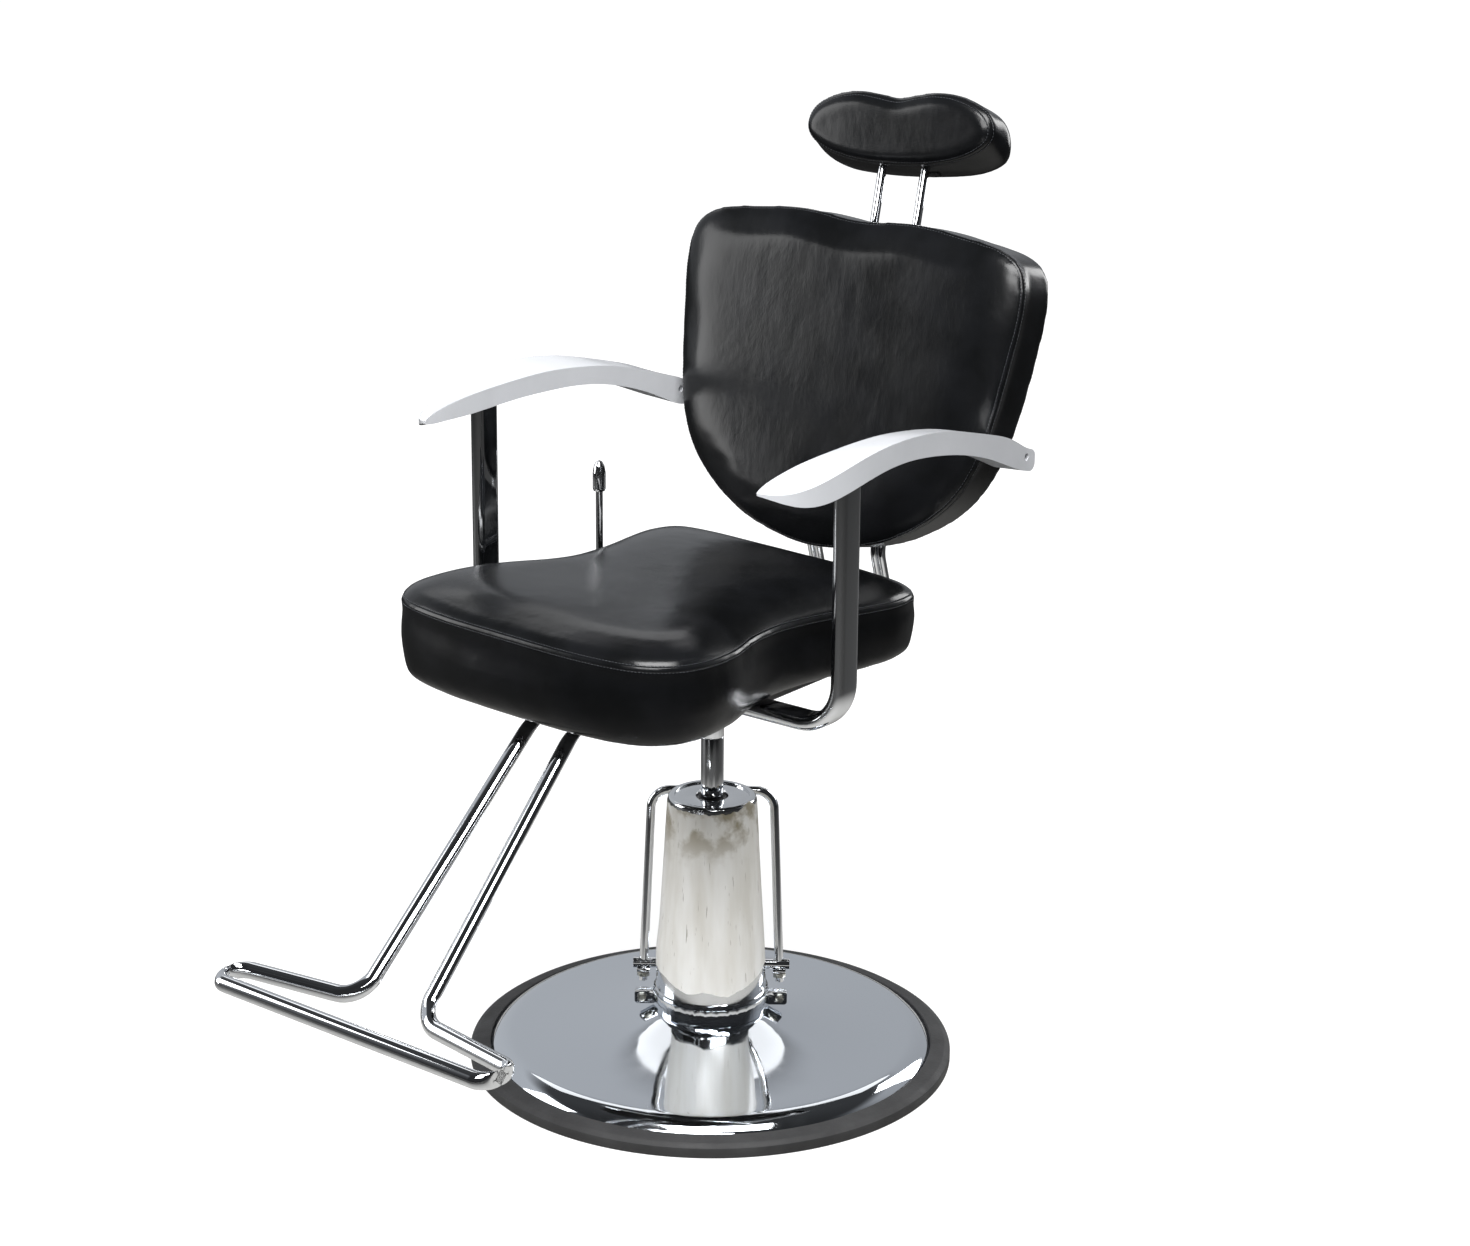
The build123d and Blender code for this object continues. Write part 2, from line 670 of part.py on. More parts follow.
def seat_bolt_spots():
    return [(sx * SEAT_BOLT_X, y) for sx in (-1, 1) for y in (-SEAT_BOLT_Y, 2 * SEAT_BOLT_Y)]


def seat_bolts():
    one = bolt(SEAT_BOLT_R, SEAT_Z - PLATE_T, BOARD_TOP - 2, 5)
    return [Pos(x, y, 0) * one for x, y in seat_bolt_spots()]


def seat_face(inset=0.0):
    """Plan of the seat: wide rounded front, waist beside the arms, wide rear."""
    w, front, rear = SEAT_HALF_W, SEAT_FRONT, SEAT_REAR
    return outline([
        (0, front), (0.45 * w, 0.995 * front), (0.78 * w, 0.955 * front), (0.95 * w, 0.86 * front),
        (1.0 * w, 0.73 * front), (0.965 * w, 0.57 * front), (0.865 * w, 0.40 * front),
        (0.815 * w, 0.23 * front), (0.835 * w, 0.03 * front), (0.90 * w, 0.35 * rear),
        (0.915 * w, 0.64 * rear), (0.83 * w, 0.90 * rear), (0.55 * w, 0.985 * rear), (0, rear),
    ], inset)


def seat_level(z_front, z_rear, inset, shrink=1.0):
    """One slice of the seat cushion, lying on a plane that falls towards the rear."""
    middle = (SEAT_FRONT + SEAT_REAR) / 2
    slope = (z_rear - z_front) / (SEAT_REAR - SEAT_FRONT)
    plane = Plane(origin=(0, middle, (z_front + z_rear) / 2), x_dir=(1, 0, 0), z_dir=(0, -slope, 1))
    return plane * scale(Pos(0, -middle) * seat_face(inset), shrink)


def askew(shape):
    """Turn and shift a seat piece the way the board is fixed to the plate."""
    return Pos(SEAT_SHIFT, 0, 0) * Rot(0, 0, SEAT_SKEW) * shape


def seat_board():
    board = askew(Pos(0, 0, SEAT_Z) * extrude(seat_face(BOARD_INSET), BOARD_T))
    for x, y in seat_bolt_spots():
        board -= disc(SEAT_BOLT_R + RUN_FIT, SEAT_Z - 1, BOARD_TOP + 1, x, y)
    return board


def seat_cushion():
    """Pillow-shaped pad: tucked in at the foot, bulging sides, a seam line and a crown."""
    front, rear, crown = SEAT_SEAM_FRONT, SEAT_SEAM_REAR, SEAT_CROWN
    body = loft([
        seat_level(SEAT_Z, SEAT_Z, SEAT_TUCK),
        seat_level(SEAT_Z + 14, SEAT_Z + 13, 2.5),
        seat_level(SEAT_Z + 48, SEAT_Z + 42, -SEAT_BULGE),
        seat_level(front, rear, 1.5),
        seat_level(front + 0.45 * crown, rear + 0.40 * crown, 14.0),
        seat_level(front + 0.85 * crown, rear + 0.80 * crown, 14.0, 0.84),
        seat_level(front + crown, rear + crown, 14.0, 0.62),
    ])
    recess = Pos(0, 0, SEAT_Z - 1) * extrude(seat_face(BOARD_INSET), BOARD_T + 1)
    return askew(body - recess)


# ---------------------------------------------------------------- armrests
def arm_tube():
    """Flat oval tube: out under the seat, round a bend and up to the pad."""
    path = FilletPolyline(
        (ARM_INNER_X, ARM_Y, ARM_Z), (ARM_X, ARM_Y, ARM_Z), (ARM_X, ARM_Y, ARM_TOP),
        radius=ARM_BEND)
    frame = Plane(origin=(ARM_INNER_X, ARM_Y, ARM_Z), x_dir=(0, 1, 0), z_dir=(1, 0, 0))
    skin = SlotOverall(ARM_DEPTH, ARM_THICK)
    bore = SlotOverall(ARM_DEPTH - 2 * ARM_WALL, ARM_THICK - 2 * ARM_WALL)
    tube = sweep(frame * (skin - bore), path=path)
    for x in arm_bolt_spots():
        tube -= disc(ARM_BOLT_R + RUN_FIT, ARM_Z - ARM_THICK, ARM_Z + ARM_THICK, x, ARM_Y)
    return tube


def arm_bolt_spots():
    return (ARM_INNER_X + 16, PLATE_X - 14)


def arm_bolts():
    one = bolt(ARM_BOLT_R, ARM_Z - ARM_THICK / 2, SEAT_Z - PLATE_T, 5)
    return [Pos(side * x, ARM_Y, 0) * one for side in (-1, 1) for x in arm_bolt_spots()]


# y, outer x, then the heights of: inner foot, inner ridge, outer ridge, outer foot
PAD_SECTIONS = (
    (-236.0, 249.0, 815.5, 818.5, 818.0, 815.0),
    (-224.0, 267.0, 812.5, 824.0, 817.0, 808.5),
    (-202.0, 281.0, 812.0, 829.0, 819.0, 801.0),
    (-165.0, 293.0, 811.5, 834.0, 828.0, 801.0),
    (-120.0, 300.0, 813.0, 837.0, 840.0, 811.0),
    (-70.0, 301.0, 814.5, 838.5, 846.0, 819.0),
    (-15.0, 298.5, 813.5, 838.0, 845.5, 819.0),
    (45.0, 295.5, 809.5, 832.5, 839.5, 811.5),
    (100.0, 292.5, 799.5, 823.5, 827.5, 800.0),
    (155.0, 289.5, 783.0, 809.5, 813.0, 783.0),
    (210.0, 286.0, 760.0, 792.5, 794.0, 761.0),
    (258.0, 284.0, 747.0, 773.5, 773.5, 747.0),
)


def pad_section(row, inset=0.0):
    y, outer, foot_in, top_in, top_out, foot_out = row
    return Plane(origin=(0, y, 0), x_dir=(1, 0, 0), z_dir=(0, -1, 0)) * make_face(Polyline(
        (PAD_INNER_X + inset, foot_in - 20 * (inset > 0)), (PAD_INNER_X + inset, top_in - inset),
        (outer - inset, top_out - inset), (outer - inset, foot_out - 20 * (inset > 0)), close=True))


def arm_pad():
    """Moulded wave of an armrest pad, hollow underneath behind its boss."""
    pad = loft([pad_section(row) for row in PAD_SECTIONS])
    hollow = loft([pad_section(row, PAD_WALL) for row in PAD_SECTIONS[6:10]])
    pad -= hollow
    rear = pad.faces().sort_by(Axis.Y)[-1]
    pad = fillet(rear.edges().filter_by(lambda edge: abs((edge % 0.5).X) > 0.9), 9)
    pad -= rod_x(PAD_HOLE_R, PAD_INNER_X - 5, ARM_X + 40, PAD_HOLE_Y, PAD_HOLE_Z)
    foot = Pos(ARM_X, ARM_Y, 700) * extrude(SlotOverall(
        ARM_DEPTH + 2 * RUN_FIT, ARM_THICK + 2 * RUN_FIT, rotation=90), ARM_TOP + RUN_FIT - 700)
    return pad - foot


# ---------------------------------------------------------------- footrest
def foot_path():
    half = [
        (FOOT_TOP_X - 3, FOOT_MOUNT_Y, FOOT_TOP_Z),
        (FOOT_TOP_X, FOOT_TOP_Y, FOOT_TOP_Z),
        (FOOT_CORNER_X, FOOT_CORNER_Y, FOOT_Z),
        (FOOT_END_X, FOOT_FRONT_Y + FOOT_END_DEPTH, FOOT_Z),
        (FOOT_END_X, FOOT_FRONT_Y, FOOT_Z),
    ]
    radii = [FOOT_TOP_BEND, FOOT_CORNER_BEND, FOOT_END_BEND, FOOT_END_BEND]
    other = [(-x, y, z) for x, y, z in reversed(half)]
    return FilletPolyline(*half, *other, radius=radii + radii[::-1])


def footrest_tube():
    tube = pipe(foot_path(), FOOT_TUBE_R, FOOT_WALL)
    return Pos(0, FOOT_MOUNT_Y, 0) * Rot(0, 0, -FOOT_SKEW) * Pos(0, -FOOT_MOUNT_Y, 0) * tube


def footrest_clamp():
    """Pressed strap that carries the two legs under the seat plate."""
    y0 = PLATE_FRONT - 28
    z1 = FOOT_TOP_Z - FOOT_TUBE_R
    face = Pos(0, y0, z1 - CLAMP_PLATE_T) * RectangleRounded(
        2 * CLAMP_PLATE_X, CLAMP_PLATE_W, 5)
    return extrude(face, CLAMP_PLATE_T)


# ---------------------------------------------------------------- hinge and back bows
def lug(x0, x1):
    """One ear of the hinge bracket, hanging from the plate to the hinge shaft."""
    top = SEAT_Z - PLATE_T
    left, right = HINGE_Y - 44, HINGE_Y + LUG_R
    face = make_face(Polyline((left, top), (right, top), (right, HINGE_Z), (HINGE_Y, HINGE_Z - LUG_R),
                              (HINGE_Y - LUG_R, HINGE_Z - 6), close=True))
    ear = Pos(x0, 0, 0) * extrude(Plane.YZ * face, x1 - x0)
    ear += rod_x(LUG_R, x0, x1, HINGE_Y, HINGE_Z)
    return ear


def hinge_bracket():
    """Right-hand bracket: two ears on a foot that bolts under the plate."""
    inner0 = BOW_X - BARREL_HALF_L - LUG_GAP - LUG_T
    outer0 = BOW_X + BARREL_HALF_L + LUG_GAP
    top = SEAT_Z - PLATE_T
    body = lug(inner0, inner0 + LUG_T) + lug(outer0, outer0 + LUG_T)
    body += block(inner0, outer0 + LUG_T, HINGE_Y - 54, HINGE_Y - 26, top - 4, top)
    return body - rod_x(HINGE_SHAFT_R + RUN_FIT, 0, 200, HINGE_Y, HINGE_Z)


def hinge_shaft():
    half = HINGE_SHAFT_HALF
    shaft = rod_x(HINGE_SHAFT_R, -half, half, HINGE_Y, HINGE_Z)
    for side in (-1, 1):
        x0, x1 = sorted((side * (half - 2), side * half))
        shaft += rod_x(HINGE_SHAFT_R + 2.5, x0, x1, HINGE_Y, HINGE_Z)
    return shaft


def bow_points(x):
    kink_y, kink_z = back_point(BOW_KINK_S, BOW_D)
    top_y, top_z = back_point(BOW_TOP_S, BOW_D)
    return [(x, HINGE_Y + HINGE_SHAFT_R + 2, HINGE_Z), (x, BOW_CORNER_Y, HINGE_Z),
            (x, kink_y, kink_z), (x, top_y, top_z)]


def back_bow():
    """Two rods side by side on one barrel: back under the seat, then up behind the backrest."""
    barrel = rod_x(BARREL_OUT_R, BOW_X - BARREL_HALF_L, BOW_X + BARREL_HALF_L, HINGE_Y, HINGE_Z)
    for side in (-1, 1):
        x = BOW_X + side * BOW_PITCH / 2
        path = FilletPolyline(*bow_points(x), radius=[BOW_CORNER_BEND, BOW_KINK_BEND])
        barrel += pipe(path, BOW_R)
    return barrel - rod_x(HINGE_SHAFT_R + RUN_FIT, 0, 200, HINGE_Y, HINGE_Z)


def bow_plates():
    """Cross plates between the backrest's rear panel and the two pairs of rods."""
    plates = []
    for s in BOW_PLATE_S:
        face = Pos(0, s, -BACK_T - PANEL_T - BOW_PLATE_T) * RectangleRounded(
            2 * BOW_PLATE_X, BOW_PLATE_H, 6)
        plates.append(BACK * extrude(face, BOW_PLATE_T))
    return plates


def bow_straps():
    """Small saddles bent over each pair of rods and screwed to the cross plates."""
    straps = []
    wide = BOW_PITCH / 2 + BOW_R
    base = -PANEL_D - BOW_PLATE_T
    for s in BOW_PLATE_S:
        for side in (-1, 1):
            hump = Pos(side * BOW_X, s, base - BOW_R - 1) * Box(2 * wide + 4, 16, 2 * BOW_R + 2)
            feet = Pos(side * BOW_X, s, base - 1) * Box(2 * wide + 20, 16, 2)
            gap = Pos(side * BOW_X, s, base - BOW_R) * Box(
                2 * wide + 2 * RUN_FIT, 17, 2 * BOW_R + 2 * RUN_FIT)
            straps.append(BACK * (hump + feet - gap))
    return straps


# ---------------------------------------------------------------- backrest
def back_face(inset=0.0):
    """Shield outline of the backrest: rounded top corners, shallow dip, deep round foot."""
    w, up, down = BACK_HALF_W, BACK_UP, BACK_DOWN
    return outline([
        (0, -down), (0.32 * w, -0.93 * down), (0.56 * w, -0.785 * down), (0.76 * w, -0.56 * down),
        (0.878 * w, -0.29 * down), (0.935 * w, 0.02 * up), (0.975 * w, 0.33 * up),
        (1.0 * w, 0.64 * up), (0.965 * w, 0.83 * up), (0.84 * w, 0.93 * up), (0.60 * w, 0.975 * up),
        (0.32 * w, up), (0, 0.975 * up),
    ], inset)


def back_slab(inset, d0, d1):
    return BACK * (Pos(0, 0, -d1) * extrude(back_face(inset), d1 - d0))


def back_cushion():
    body = back_slab(0, 0, BACK_T)
    body = rounded(body, BACK, BACK_EDGE_R, 4)
    return body - back_slab(BACK_BOARD_INSET, BACK_T - BACK_BOARD_T, BACK_T + 1)


def back_board():
    return back_slab(BACK_BOARD_INSET, BACK_T - BACK_BOARD_T, BACK_T)


def back_panel():
    return back_slab(PANEL_INSET, BACK_T, PANEL_D)


# ---------------------------------------------------------------- recline lock
def crank_pin_at(turn):
    """Where the crank's pin lies when the backrest has turned this many degrees."""
    a = radians(RECLINE / 2 - turn)
    return HINGE_Y + CRANK_R * sin(a), HINGE_Z - CRANK_R * cos(a)


def recline_crank():
    """Two cheeks fixed to the hinge shaft, with the pin that pushes the lock rod."""
    y, z = crank_pin_at(0)
    lean = degrees(atan2(y - HINGE_Y, HINGE_Z - z))
    face = Pos(0, -CRANK_R / 2, 0) * SlotOverall(CRANK_R + 22, 22, rotation=90)
    arm = Rot(0, 0, lean) * face
    cheek = extrude(Plane.YZ * (Pos(HINGE_Y, HINGE_Z) * arm), CRANK_T)
    gap = YOKE_T / 2 + 0.5
    pair = Pos(gap, 0, 0) * cheek + Pos(-gap - CRANK_T, 0, 0) * cheek
    pair += rod_x(HINGE_SHAFT_R + 5, -gap, gap, HINGE_Y, HINGE_Z)
    pair += rod_x(CRANK_PIN_R, -gap, gap, y, z)
    return pair - rod_x(HINGE_SHAFT_R + RUN_FIT, -60, 60, HINGE_Y, HINGE_Z)


def lock_z():
    return (crank_pin_at(0)[1] + crank_pin_at(RECLINE / 2)[1]) / 2


def lock_rod():
    y, _ = crank_pin_at(0)
    z = lock_z()
    yoke = block(-YOKE_T / 2, YOKE_T / 2, y - 9, y + 9, z - 11, z + 11)
    yoke = fillet(yoke.edges().filter_by(Axis.X), 5)
    slot = Pos(-YOKE_T, y, z) * extrude(Plane.YZ * SlotOverall(
        2 * CRANK_PIN_R + 6, 2 * CRANK_PIN_R + 1.2, rotation=90), 2 * YOKE_T)
    return yoke - slot + rod_y(LOCK_ROD_R, y - 8 - LOCK_ROD_L, y - 8.5, 0, z)


def lock_body():
    """Spring-clutch housing that grips the rod until the lever frees it."""
    z = lock_z()
    y0, y1 = LOCK_BODY_Y
    body = rod_y(LOCK_BODY_R, y0, y1, 0, z)
    for end in (y0, y1 - 6):
        body += rod_y(LOCK_BODY_R + 2, end, end + 6, 0, z)
    top = SEAT_Z - PLATE_T
    web = block(-4, 4, y0 + 14, y1 - 12, z, top)
    foot = block(-20, 20, y0 + 14, y1 - 12, top - 4, top)
    body += web + foot
    return body - rod_y(LOCK_ROD_R + RUN_FIT, y0 - 1, y1 + 1, 0, z)


# ---------------------------------------------------------------- recline lever
def recline_lever():
    path = FilletPolyline((LEVER_INNER_X, LEVER_Y, LEVER_Z), (LEVER_X, LEVER_Y, LEVER_Z),
                          (LEVER_X, LEVER_Y, LEVER_TOP), radius=LEVER_BEND)
    rod = pipe(path, LEVER_R)
    finger = block(LEVER_INNER_X - 8, LEVER_INNER_X, LEVER_Y - 4, LEVER_Y + 4, LEVER_Z - 26, LEVER_Z)
    return rod + finger


def lever_bearing():
    """Small ear under the plate that carries the lever's inner end."""
    top = SEAT_Z - PLATE_T
    x0 = LEVER_INNER_X - 26
    ear = block(x0, x0 + 5, LEVER_Y - 10, LEVER_Y + 10, LEVER_Z - 9, top)
    return ear - rod_x(LEVER_R + RUN_FIT, x0 - 1, x0 + 6, LEVER_Y, LEVER_Z)


def lever_knob():
    """Bullet of a knob with shallow flutes."""
    neck = LEVER_R + RUN_FIT
    body = turned((0, KNOB_Z), (KNOB_R - 1, KNOB_Z), (KNOB_R, KNOB_Z + 3), (KNOB_R, KNOB_TOP - 16),
                  (KNOB_R - 1.6, KNOB_TOP - 7), (KNOB_R - 4.4, KNOB_TOP - 1.6), (0, KNOB_TOP))
    for k in range(KNOB_FLUTES):
        spot = Rot(0, 0, k * 360 / KNOB_FLUTES)
        body -= spot * disc(1.2, KNOB_Z + 5, KNOB_TOP - 12, KNOB_R + 0.4)
    body -= disc(neck, KNOB_Z - 1, LEVER_TOP)
    return Pos(LEVER_X, LEVER_Y, 0) * body


# ---------------------------------------------------------------- headrest
def head_rods():
    s0, s1 = HEAD_ROD_S
    rod = Pos(0, (s0 + s1) / 2, -HEAD_ROD_D) * Rot(90, 0, 0) * Cylinder(HEAD_ROD_R, s1 - s0)
    return [BACK * (Pos(side * HEAD_ROD_X, 0, 0) * rod) for side in (-1, 1)]


def head_block(s):
    """Guide block on the rear panel with two bores for the headrest rods."""
    low = PANEL_D
    high = HEAD_ROD_D + HEAD_ROD_R + 5
    body = Pos(0, s, -(low + high) / 2) * Box(2 * HEAD_BLOCK_X, HEAD_BLOCK_H, high - low)
    body = fillet(body.edges().filter_by(Axis.Y), 4)
    for side in (-1, 1):
        body -= Pos(side * HEAD_ROD_X, s, -HEAD_ROD_D) * Rot(90, 0, 0) * Cylinder(
            HEAD_ROD_R + RUN_FIT, HEAD_BLOCK_H + 2)
    return BACK * body


def head_face(inset=0.0):
    """Kidney outline of the headrest with a dip for the neck."""
    w, up, down = HEAD_HALF_W, HEAD_UP, HEAD_DOWN
    return outline([
        (0, -down), (0.36 * w, -0.95 * down), (0.70 * w, -0.72 * down), (0.94 * w, -0.30 * down),
        (0.99 * w, 0.10 * up), (0.88 * w, 0.54 * up), (0.66 * w, 0.88 * up), (0.42 * w, up),
        (0.20 * w, 0.91 * up), (0, 0.80 * up),
    ], inset)


def head_level(depth, drop, inset):
    """One slice of the headrest, behind its front face and lower by a drop."""
    return HEAD * (Pos(0, -drop, -depth) * Rot(0, 0, HEAD_ROLL) * head_face(inset))


def headrest_cushion():
    """The pad leans down towards the rear, where its cover is stapled to the board."""
    body = loft([
        head_level(0, 1.0, 16.0),
        head_level(5, 0.5, 4.0),
        head_level(13, 0.0, 0.0),
        head_level(30, 0.35 * HEAD_SAG, 1.0),
        head_level(HEAD_T - 10, 0.8 * HEAD_SAG, 5.0),
        head_level(HEAD_T, HEAD_SAG, 13.0),
    ])
    return body - head_cavity()


def head_cavity():
    low, high = HEAD_ROD_D - HEAD_ROD_R - SOFT_GAP, HEAD_ROD_D + HEAD_ROD_R + HEAD_BOARD_T
    wide = HEAD_ROD_X + HEAD_ROD_R + 12
    s0, s1 = HEAD_ROD_S[1] - 80, HEAD_ROD_S[1] + SOFT_GAP
    return BACK * (Pos(0, (s0 + s1) / 2, -(low + high) / 2) * Box(2 * wide, s1 - s0, high - low))


def headrest_board():
    d = HEAD_ROD_D + HEAD_ROD_R + HEAD_BOARD_T / 2
    wide = HEAD_ROD_X + HEAD_ROD_R + 12
    s1 = HEAD_ROD_S[1]
    return BACK * (Pos(0, s1 - 22, -d) * Box(2 * wide - 2, 40, HEAD_BOARD_T - 0.2))


# ---------------------------------------------------------------- write the nodes
def pumped(made):
    return [PUMP * solid for solid in made] if isinstance(made, list) else PUMP * made


NODES = {
    "base_rubber_ring": base_rubber_ring(),
    "base_dome": base_dome(),
    "base_spider": base_spider(),
    "pump_body": pumped(pump_body()),
    "pump_bolts": pumped(pump_bolts()),
    "pump_jacket": pump_jacket(),
    "pump_barrel": pump_barrel(),
    "pump_head": pump_head(),
    "rod_seal": rod_seal(),
    "pump_sleeve": pumped(pump_sleeve()),
    "sleeve_cap": sleeve_cap(),
    "clamp_half_front": pumped(clamp_half(-1)),
    "clamp_half_rear": pumped(clamp_half(1)),
    "clamp_bolts": pumped(clamp_bolts()),
    "piston": piston(),
    "piston_seals": piston_seals(),
    "thrust_washer": thrust_washer(),
    "ram": ram(),
    "pedal_bar": pumped(pedal_bar()),
    "pedal_shaft": pumped(pedal_shaft()),
    "pedal_saddles": pumped(pedal_saddles()),
    "pedal_nuts": pumped(pedal_nuts()),
    "pedal_cam": pumped(pedal_cam()),
    "pump_plunger": pumped(pump_plunger()),
    "plunger_spring": pumped(plunger_spring()),
    "seat_plate": seat_plate(),
    "seat_bolts": seat_bolts(),
    "seat_board": seat_board(),
    "seat_cushion": seat_cushion(),
    "arm_tube_left": arm_tube(),
    "arm_tube_right": mirrored(arm_tube()),
    "arm_bolts": arm_bolts(),
    "arm_pad_left": arm_pad(),
    "arm_pad_right": mirrored(arm_pad()),
    "footrest_tube": footrest_tube(),
    "footrest_clamp": footrest_clamp(),
    "hinge_bracket_left": hinge_bracket(),
    "hinge_bracket_right": mirrored(hinge_bracket()),
    "hinge_shaft": hinge_shaft(),
    "back_bow_left": back_bow(),
    "back_bow_right": mirrored(back_bow()),
    "bow_plates": bow_plates(),
    "bow_straps": bow_straps(),
    "back_cushion": back_cushion(),
    "back_board": back_board(),
    "back_panel": back_panel(),
    "recline_crank": recline_crank(),
    "lock_rod": lock_rod(),
    "lock_body": lock_body(),
    "recline_lever": recline_lever(),
    "lever_bearing": lever_bearing(),
    "lever_knob": lever_knob(),
    "headrest_rods": head_rods(),
    "headrest_block_lower": head_block(HEAD_BLOCKS_S[0]),
    "headrest_block_upper": head_block(HEAD_BLOCKS_S[1]),
    "headrest_board": headrest_board(),
    "headrest_cushion": headrest_cushion(),
}

os.makedirs("parts", exist_ok=True)
for name, made in NODES.items():
    shape = Compound(children=made) if isinstance(made, list) else made
    export_step(shape, f"parts/{name}.step")
    print(name, round(shape.volume))
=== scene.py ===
# %% [markdown]
# # A hydraulic barber chair, dressed for rendering
# The frame is the finished CAD model. It holds every steel tube, plate and bolt in its true
# place, so this lesson never measures or moves anything. It gives each piece its finish,
# bends the bright tubes again with smoother skins, and sews the three pads.

# %% Load the frame
import json
import math

import bmesh
import bpy
import numpy as np
from mathutils import Matrix, Vector, noise
from mathutils.bvhtree import BVHTree

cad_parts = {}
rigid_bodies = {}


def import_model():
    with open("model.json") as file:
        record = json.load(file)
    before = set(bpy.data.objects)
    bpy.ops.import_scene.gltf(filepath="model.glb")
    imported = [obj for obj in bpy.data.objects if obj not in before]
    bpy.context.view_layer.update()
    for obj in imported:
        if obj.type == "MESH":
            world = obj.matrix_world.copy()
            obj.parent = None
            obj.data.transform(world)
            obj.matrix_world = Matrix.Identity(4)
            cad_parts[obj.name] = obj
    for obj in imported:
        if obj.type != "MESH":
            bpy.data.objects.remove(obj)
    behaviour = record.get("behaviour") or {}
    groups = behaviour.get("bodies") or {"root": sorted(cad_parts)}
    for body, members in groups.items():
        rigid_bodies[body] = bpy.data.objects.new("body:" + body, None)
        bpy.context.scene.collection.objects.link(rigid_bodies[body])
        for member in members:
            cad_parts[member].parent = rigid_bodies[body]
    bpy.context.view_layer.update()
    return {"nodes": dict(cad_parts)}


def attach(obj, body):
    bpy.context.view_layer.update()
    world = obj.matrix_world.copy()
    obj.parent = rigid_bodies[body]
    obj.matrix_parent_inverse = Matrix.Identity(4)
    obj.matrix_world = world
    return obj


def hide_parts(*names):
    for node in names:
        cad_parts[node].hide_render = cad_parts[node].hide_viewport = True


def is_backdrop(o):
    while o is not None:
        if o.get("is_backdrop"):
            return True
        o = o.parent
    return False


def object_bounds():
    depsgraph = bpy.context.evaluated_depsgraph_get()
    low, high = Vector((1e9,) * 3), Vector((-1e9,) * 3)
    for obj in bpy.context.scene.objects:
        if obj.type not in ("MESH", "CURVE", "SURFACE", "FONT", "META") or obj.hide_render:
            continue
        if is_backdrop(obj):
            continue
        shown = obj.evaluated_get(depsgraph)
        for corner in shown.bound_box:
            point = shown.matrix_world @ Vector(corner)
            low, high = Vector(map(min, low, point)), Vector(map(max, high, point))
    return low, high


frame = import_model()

NODES = frame["nodes"]
MM = 0.001
scene = bpy.context.scene

# %% [markdown]
# ## Two small helpers
# Paint makers give colours as sRGB hex, and a renderer wants linear light, so one function
# turns one into the other. A shader is a graph of nodes, and one more function adds a node
# with its settings and its links, which keeps each finish short enough to read.

# %% Colour and node helpers
def paint(code):
    """Linear RGBA of an sRGB hex colour."""
    parts = [int(code[k:k + 2], 16) / 255 for k in (1, 3, 5)]
    light = [p / 12.92 if p <= 0.04045 else ((p + 0.055) / 1.055) ** 2.4 for p in parts]
    return (*light, 1.0)


def add(tree, kind, inputs=None, **settings):
    """Add a node; an input is a plain value or another node's output to link from."""
    node = tree.nodes.new(kind)
    for key, value in settings.items():
        setattr(node, key, value)
    for key, value in (inputs or {}).items():
        if isinstance(value, bpy.types.NodeSocket):
            tree.links.new(value, node.inputs[key])
        else:
            node.inputs[key].default_value = value
    return node


def new_finish(name, inputs):
    """A material with one Principled shader; its uniform values sit on the sockets."""
    made = bpy.data.materials.new(name)
    made.use_nodes = True
    tree = made.node_tree
    tree.nodes.clear()
    shader = add(tree, "ShaderNodeBsdfPrincipled", inputs)
    add(tree, "ShaderNodeOutputMaterial", {"Surface": shader.outputs[0]})
    place = add(tree, "ShaderNodeTexCoord").outputs["Object"]
    return made, tree, shader, place


def patches(tree, place, size, low, high, detail=2.0, edges=(0.35, 0.65), stretch=None):
    """Soft patches about `size` mm across, as a value from low to high."""
    if stretch:
        place = add(tree, "ShaderNodeMapping", {"Vector": place, "Scale": stretch}).outputs[0]
    cloud = add(tree, "ShaderNodeTexNoise", {
        "Vector": place, "Scale": 1000 / size, "Detail": detail, "Roughness": 0.55})
    return add(tree, "ShaderNodeMapRange", {
        "Value": cloud.outputs[0], "From Min": edges[0], "From Max": edges[1],
        "To Min": low, "To Max": high}).outputs[0]


def tint(tree, amount, first, second):
    """A blend of two hex colours."""
    mix = add(tree, "ShaderNodeMix", {
        "Factor": amount, "A": paint(first), "B": paint(second)}, data_type="RGBA")
    return mix.outputs["Result"]


def relief(tree, shader, height, depth, strength=1.0, under=None):
    """A bump of `depth` mm from a 0..1 height, over another bump if one is given."""
    inputs = {"Height": height, "Distance": depth * MM, "Strength": strength}
    if under:
        inputs["Normal"] = under
    bump = add(tree, "ShaderNodeBump", inputs).outputs[0]
    tree.links.new(bump, shader.inputs["Normal"])
    return bump


print("helpers ready")

# %% [markdown]
# ## Chrome plate
# The tubes, the dome and the sleeve are steel with a bright decorative chrome plate. Plate
# over buffed tube is nearly a mirror, so the eye reads it from what it reflects. What makes
# it real is what lies on the mirror: a faint haze of handling and polishing in patches, and
# a ripple of a few hundredths of a millimetre that bends long reflections. The tree varies
# roughness, and a very shallow relief does the ripple.

